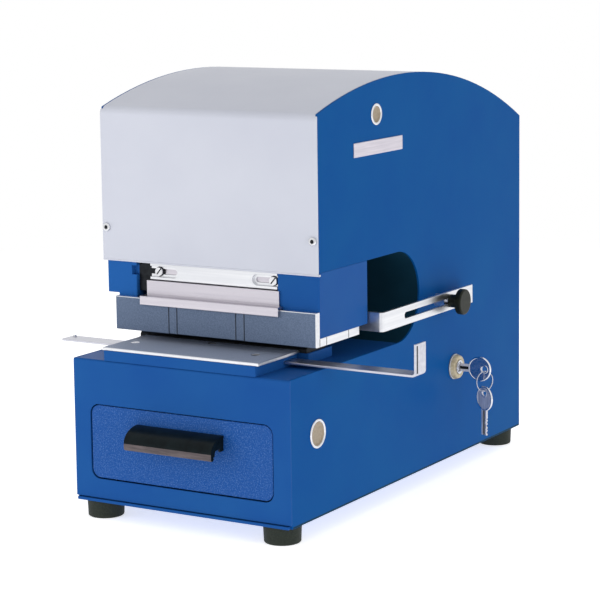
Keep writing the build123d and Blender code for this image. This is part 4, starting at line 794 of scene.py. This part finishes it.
def makePlugs():
    look = {"upper": 9.5 * mm, "lower": 12.65 * mm, "thick": 1.0 * mm, "edge": 0.3 * mm, "edgeAngle": 20,
            "rim": 2.4 * mm, "rimRise": 0.3 * mm, "rimFlat": 0.75, "rimOverlap": 0.7,
            "seat": 3 * mm, "body": 3.5 * mm, "land": 0.8 * mm, "bank": 1.2 * mm, "dish": 1.3 * mm,
            "well": 2.2 * mm, "wellDepth": 0.4 * mm}
    low, high, _ = nodeBox("side_plugs")
    face = high.x - look["thick"]
    places = (("upperPlug", look["upper"], high.y - look["upper"], high.z - look["upper"]),
              ("lowerPlug", look["lower"], low.y + look["lower"], low.z + look["lower"]))
    for name, radius, y, z in places:
        rim = ring(name + "Rim", (face + look["rimRise"], y, z), toRight, radius - look["rim"] / 2,
                   look["rim"] / 2, look["rimFlat"])
        dress(rim, "machine", chrome)
        centreRadius = radius - look["rim"] * look["rimOverlap"]
        centre = disc(name + "Centre", (face - look["seat"], y, z), centreRadius, look["body"], toRight)
        selectFaces(centre, lambda part: part.normal.x > straight)
        bpy.ops.mesh.inset(thickness=look["land"])
        bpy.ops.mesh.inset(thickness=look["bank"])
        bpy.ops.transform.translate(value=(-look["dish"], 0, 0))
        bpy.ops.mesh.inset(thickness=look["well"])
        bpy.ops.transform.translate(value=(-look["wellDepth"], 0, 0))
        objectMode()
        softenEdges(centre, look["edge"], segments=3, angle=look["edgeAngle"])
        dress(centre, "machine", nylon, ["side_plugs"])


def makeSprings():
    look = {"inset": 6.3 * mm, "radius": 5.5 * mm, "wire": 0.5 * mm, "turns": 4, "steps": 24,
            "flatShare": 0.12}
    low, high, middle = nodeBox("return_springs")
    count = look["turns"] * look["steps"]
    springs = []
    for x in (low.x + look["inset"], high.x - look["inset"]):
        points = []
        for step in range(count + 1):
            climb = (step / count - look["flatShare"]) / (1 - 2 * look["flatShare"])
            climb = min(max(climb, 0), 1)
            angle = 2 * math.pi * step / look["steps"]
            y = middle.y + look["radius"] * math.sin(angle)
            z = low.z + look["wire"] + climb * (high.z - low.z - 2 * look["wire"])
            points.append((x + look["radius"] * math.cos(angle), y, z))
        springs.append(wire("returnSpring", points, look["wire"]))
    spring = dress(join(springs, "returnSprings"), "machine", steelAlongX, ["return_springs"])
    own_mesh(spring)


def makeFrontPlate():
    look = {"edge": 0.3 * mm, "reach": 60 * mm, "skin": 0.25 * mm, "shadeDepth": 1 * mm, "litDepth": 0.9 * mm,
            "end": 1 * mm, "slant": 0.3, "steep": 0.5}
    plate = mergedCopy("tool_front_plate", "toolFrontPlate")
    softenEdges(plate, look["edge"])
    dress(plate, "machine", lacquer, ["tool_front_plate"])
    low, high, middle = nodeBox("tool_front_plate")

    def inGroove(face, depth):
        return (abs(face.center.x - middle.x) < look["reach"]
                and low.y + look["skin"] < face.center.y < low.y + depth)

    def isBright(face):
        isEnd = face.normal.x > look["slant"] and face.center.x > high.x - look["end"]
        return face.normal.z > look["slant"] or isEnd

    giveFaces(plate, steelAlongX, isBright)
    giveFaces(plate, grooveShade, lambda face: inGroove(face, look["shadeDepth"]))
    giveFaces(plate, grooveHighlight,
              lambda face: inGroove(face, look["litDepth"]) and face.normal.x > look["steep"])


# Thin dark strips: painted shade in the joints at the tool's right end, and a painted shadow line along the
# foot of the side panel.
def makeSeamShades():
    look = {"half": 0.45 * mm, "proud": 0.03 * mm, "deep": 1 * mm, "inset": 0.2 * mm,
            "panelEnd": 1 * mm, "panelLow": 0.3 * mm, "panelHigh": 1.7 * mm}
    frontHigh = nodeBox("tool_front_plate")[1]
    low, high, _ = nodeBox("guide_plate")
    half, proud, deep, inset = look["half"], look["proud"], look["deep"], look["inset"]
    seamShades = [block("seamShade", (high.x - deep, y - half, low.z + inset),
                   (high.x + proud, y + half, high.z - inset))
             for y in (frontHigh.y, low.y - inset, high.y + inset)]
    dress(join(seamShades, "toolJointShade"), "machine", blackSteel)
    low, high, _ = nodeBox("right_side_panel")
    seamShade = block("panelShadowLine", (high.x - deep, low.y + look["panelEnd"], low.z + look["panelLow"]),
                 (high.x + proud, high.y - look["panelEnd"], low.z + look["panelHigh"]))
    dress(seamShade, "machine", shadedThroatEnamel)


# A thin dark strip on the ruler's outer face near its front: a painted shadow line, not a real gap.
def makeRulerShadowLine():
    look = {"deep": 0.5 * mm, "proud": 0.03 * mm, "front": 1.2 * mm, "back": 3.4 * mm,
            "foot": 3 * mm, "top": 1.5 * mm}
    low, high, _ = nodeBox("side_ruler")
    line = block("rulerShadowLine", (high.x - look["deep"], low.y + look["front"], low.z + look["foot"]),
                 (high.x + look["proud"], low.y + look["back"], high.z - look["top"]))
    dress(line, "ruler", blackSteel)


def makePaperTable():
    look = {"edge": 0.2 * mm, "flat": 0.95}
    table = mergedCopy("paper_table", "paperTable")
    softenEdges(table, look["edge"])
    dress(table, "machine", litTableLacquer, ["paper_table"])
    giveFaces(table, steelAlongX, lambda face: abs(face.normal.z) < look["flat"])


# The bright metal seen through the lock bar's slots.
def makeSlotShim():
    look = {"thick": 0.02 * mm, "left": 6 * mm, "right": 0.5 * mm, "margin": 1 * mm}
    low, high, _ = nodeBox("lock_bar")
    shim = block("slotShim", (low.x + look["left"], high.y - look["thick"], low.z + look["margin"]),
                 (high.x - look["right"], high.y, high.z - look["margin"]))
    dress(shim, "machine", guardSteel)


# Slotted screw heads, with painted shade: blackened on the faces that the test finds at the bottom of their
# slots.
def makeSlottedHeads(node, name, isFloor):
    look = {"edge": 0.12 * mm}
    heads = mergedCopy(node, name)
    softenEdges(heads, look["edge"])
    dress(heads, "machine", chrome, [node])
    giveFaces(heads, blackSteel, isFloor)


def makeTableScrews():
    look = {"slotDepth": 0.5 * mm}
    high = nodeBox("table_screws")[1]
    makeSlottedHeads("table_screws", "tableScrews",
                     lambda face: face.normal.z > straight and face.center.z < high.z - look["slotDepth"])


def makeLockBarScrews():
    look = {"slotFrom": 0.5 * mm, "slotTo": 2 * mm, "seat": 4.3 * mm, "shadeThick": 0.3 * mm,
            "shadePlace": 2.1 * mm, "shadeInset": 3.7 * mm}
    low, high, middle = nodeBox("lock_bar_screws")
    makeSlottedHeads("lock_bar_screws", "lockBarScrews",
                     lambda face: face.normal.y < -straight
                     and look["slotFrom"] < face.center.y - low.y < look["slotTo"])
    # Dark discs just behind the two heads and wider than them: a painted shadow ring around each head.
    shadeDiscs = [disc("screwShadeDisc", (x, low.y + look["shadePlace"], middle.z), look["seat"], look["shadeThick"],
                  toBack, vertices=48)
             for x in (low.x + look["shadeInset"], high.x - look["shadeInset"])]
    dress(join(shadeDiscs, "screwHeadShade"), "machine", blackSteel)


def makeRearScrews():
    look = {"radius": 3.6 * mm, "height": 1.8 * mm, "inset": 9 * mm, "rows": (14 * mm, 105 * mm, 200 * mm),
            "topRow": 12 * mm, "inletRadius": 2.2 * mm, "inletHeight": 1.2 * mm, "inletInset": 3.1 * mm}
    low, high, _ = nodeBox("rear_panel")
    rows = [low.z + rise for rise in look["rows"]] + [high.z - look["topRow"]]
    heads = [crossScrew("rearScrew", (x, high.y, z), toBack, look["radius"], look["height"])
             for x in (low.x + look["inset"], high.x - look["inset"]) for z in rows]
    low, high, middle = nodeBox("power_inlet")
    heads += [crossScrew("inletScrew", (x, high.y, middle.z), toBack, look["inletRadius"],
                         look["inletHeight"])
              for x in (low.x + look["inletInset"], high.x - look["inletInset"])]
    dress(join(heads, "rearScrewHeads"), "machine", chrome)


for build in (makeCoverScrews, makeCoverHem, makeHandle, makeKeys, makeLockFace, makePlugs, makeSprings,
              makeFrontPlate, makeSeamShades, makeRulerShadowLine, makePaperTable, makeSlotShim, makeTableScrews,
              makeLockBarScrews, makeRearScrews):
    build()
    print("built", build.__name__)


# Camera, lamps and floor.

view = {
    "azimuth": 31.07, "elevation": 7.98, "roll": -0.73,     # degrees
    "place": (0.999, -1.70875, 0.506),
    "lens": 130.8, "sensor": 36.0,                          # mm
    "shift": (0.0033, -0.1033), "clip": (0.1, 20),
}
lamps = {
    # name: (place, target, size, watts)
    "keySoftbox": ((-0.85, -1.2, 0.42), (0, 0, 0.2), (0.9, 0.9), 4.5),
    "sideSoftbox": ((2.5, -0.7, 0.6), (0, 0, 0.2), (1.2, 1.2), 13),
    "topSoftbox": ((-0.3, 0.2, 2.4), (0, 0, 0.3), (1.6, 1.6), 6),
}
studio = {
    "fill": 0.56, "floorGlow": 0.66,                        # strengths
    "floorRadius": 6.0, "clearRadius": 1.6,                 # metres
    "fadeFrom": 0.55,                                       # share of clearRadius
}


def makeCamera():
    azimuth, elevation, roll = (math.radians(view[k]) for k in ("azimuth", "elevation", "roll"))
    forward = Vector((-math.sin(azimuth) * math.cos(elevation), math.cos(azimuth) * math.cos(elevation),
                      -math.sin(elevation)))
    level = Vector((math.cos(azimuth), math.sin(azimuth), 0))
    upright = level.cross(forward)
    right = math.cos(roll) * level + math.sin(roll) * upright
    up = right.cross(forward)
    turn = Matrix((right, up, -forward)).transposed().to_4x4()
    bpy.ops.object.camera_add()
    camera = bpy.context.object
    camera.matrix_world = Matrix.Translation(view["place"]) @ turn
    camera.data.lens = view["lens"]
    camera.data.sensor_width = view["sensor"]
    camera.data.shift_x, camera.data.shift_y = view["shift"]
    camera.data.clip_start, camera.data.clip_end = view["clip"]
    bpy.context.scene.camera = camera


def makeLamp(name, place, target, size, power):
    bpy.ops.object.light_add(type="AREA", location=place)
    lamp = bpy.context.object
    lamp.name = name
    lamp.data.shape = "RECTANGLE"
    lamp.data.size, lamp.data.size_y = size
    lamp.data.energy = power
    lamp.visible_glossy = False
    lamp.rotation_euler = (Vector(target) - Vector(place)).to_track_quat("-Z", "Y").to_euler()


# The world looks white to the camera and in reflections, and lights surfaces with less.
def makeWorld():
    world = bpy.data.worlds.new("studio")
    world.use_nodes = True
    bpy.context.scene.world = world
    back = world.node_tree.nodes["Background"]
    rays = addNode(world, "ShaderNodeLightPath", {})
    glossy = addNode(world, "ShaderNodeMath", {"operation": "MAXIMUM"},
                     {0: rays.outputs["Is Camera Ray"], 1: rays.outputs["Is Glossy Ray"]})
    clear = addNode(world, "ShaderNodeMath", {"operation": "MAXIMUM"},
                    {0: glossy.outputs[0], 1: rays.outputs["Is Transmission Ray"]})
    level = addNode(world, "ShaderNodeMapRange", {"To Min": studio["fill"], "To Max": 1.0},
                    {"Value": clear.outputs[0]})
    world.node_tree.links.new(level.outputs["Result"], back.inputs["Strength"])
    back.inputs["Color"].default_value = (1, 1, 1, 1)


# A matt floor that takes the shadow and fades into the white around it.
def makeFloor():
    clearRadius = studio["clearRadius"]
    bpy.ops.mesh.primitive_circle_add(
        vertices=96, radius=studio["floorRadius"], fill_type="NGON", location=(0, 0, 0))
    floor = bpy.context.object
    floor.name = "studioFloor"
    material, shader = newMaterial("whiteStudioFloor", {"Base Color": linear("#F7F7F8"), "Roughness": 0.9})
    points = addNode(material, "ShaderNodeTexCoord", {})
    distance = addNode(material, "ShaderNodeVectorMath", {"operation": "LENGTH"},
                       {0: points.outputs["Object"]})
    fade = addNode(material, "ShaderNodeMapRange",
                   {"From Min": clearRadius * studio["fadeFrom"], "From Max": clearRadius},
                   {"Value": distance.outputs["Value"]})
    white = addNode(material, "ShaderNodeEmission", {"Color": (1, 1, 1, 1), "Strength": 1.0})
    glow = addNode(material, "ShaderNodeEmission",
                   {"Color": (1, 1, 1, 1), "Strength": studio["floorGlow"]})
    lit = addNode(material, "ShaderNodeAddShader", {}, {0: shader.outputs[0], 1: glow.outputs[0]})
    blend = addNode(material, "ShaderNodeMixShader", {},
                    {0: fade.outputs["Result"], 1: lit.outputs[0], 2: white.outputs[0]})
    output = material.node_tree.nodes["Material Output"]
    material.node_tree.links.new(blend.outputs[0], output.inputs["Surface"])
    floor.data.materials.append(material)


makeCamera()
makeWorld()
for name, (place, target, size, power) in lamps.items():
    makeLamp(name, place, target, size, power)
makeFloor()
bpy.context.scene.view_settings.view_transform = "Standard"
print("camera, lamps and floor done")
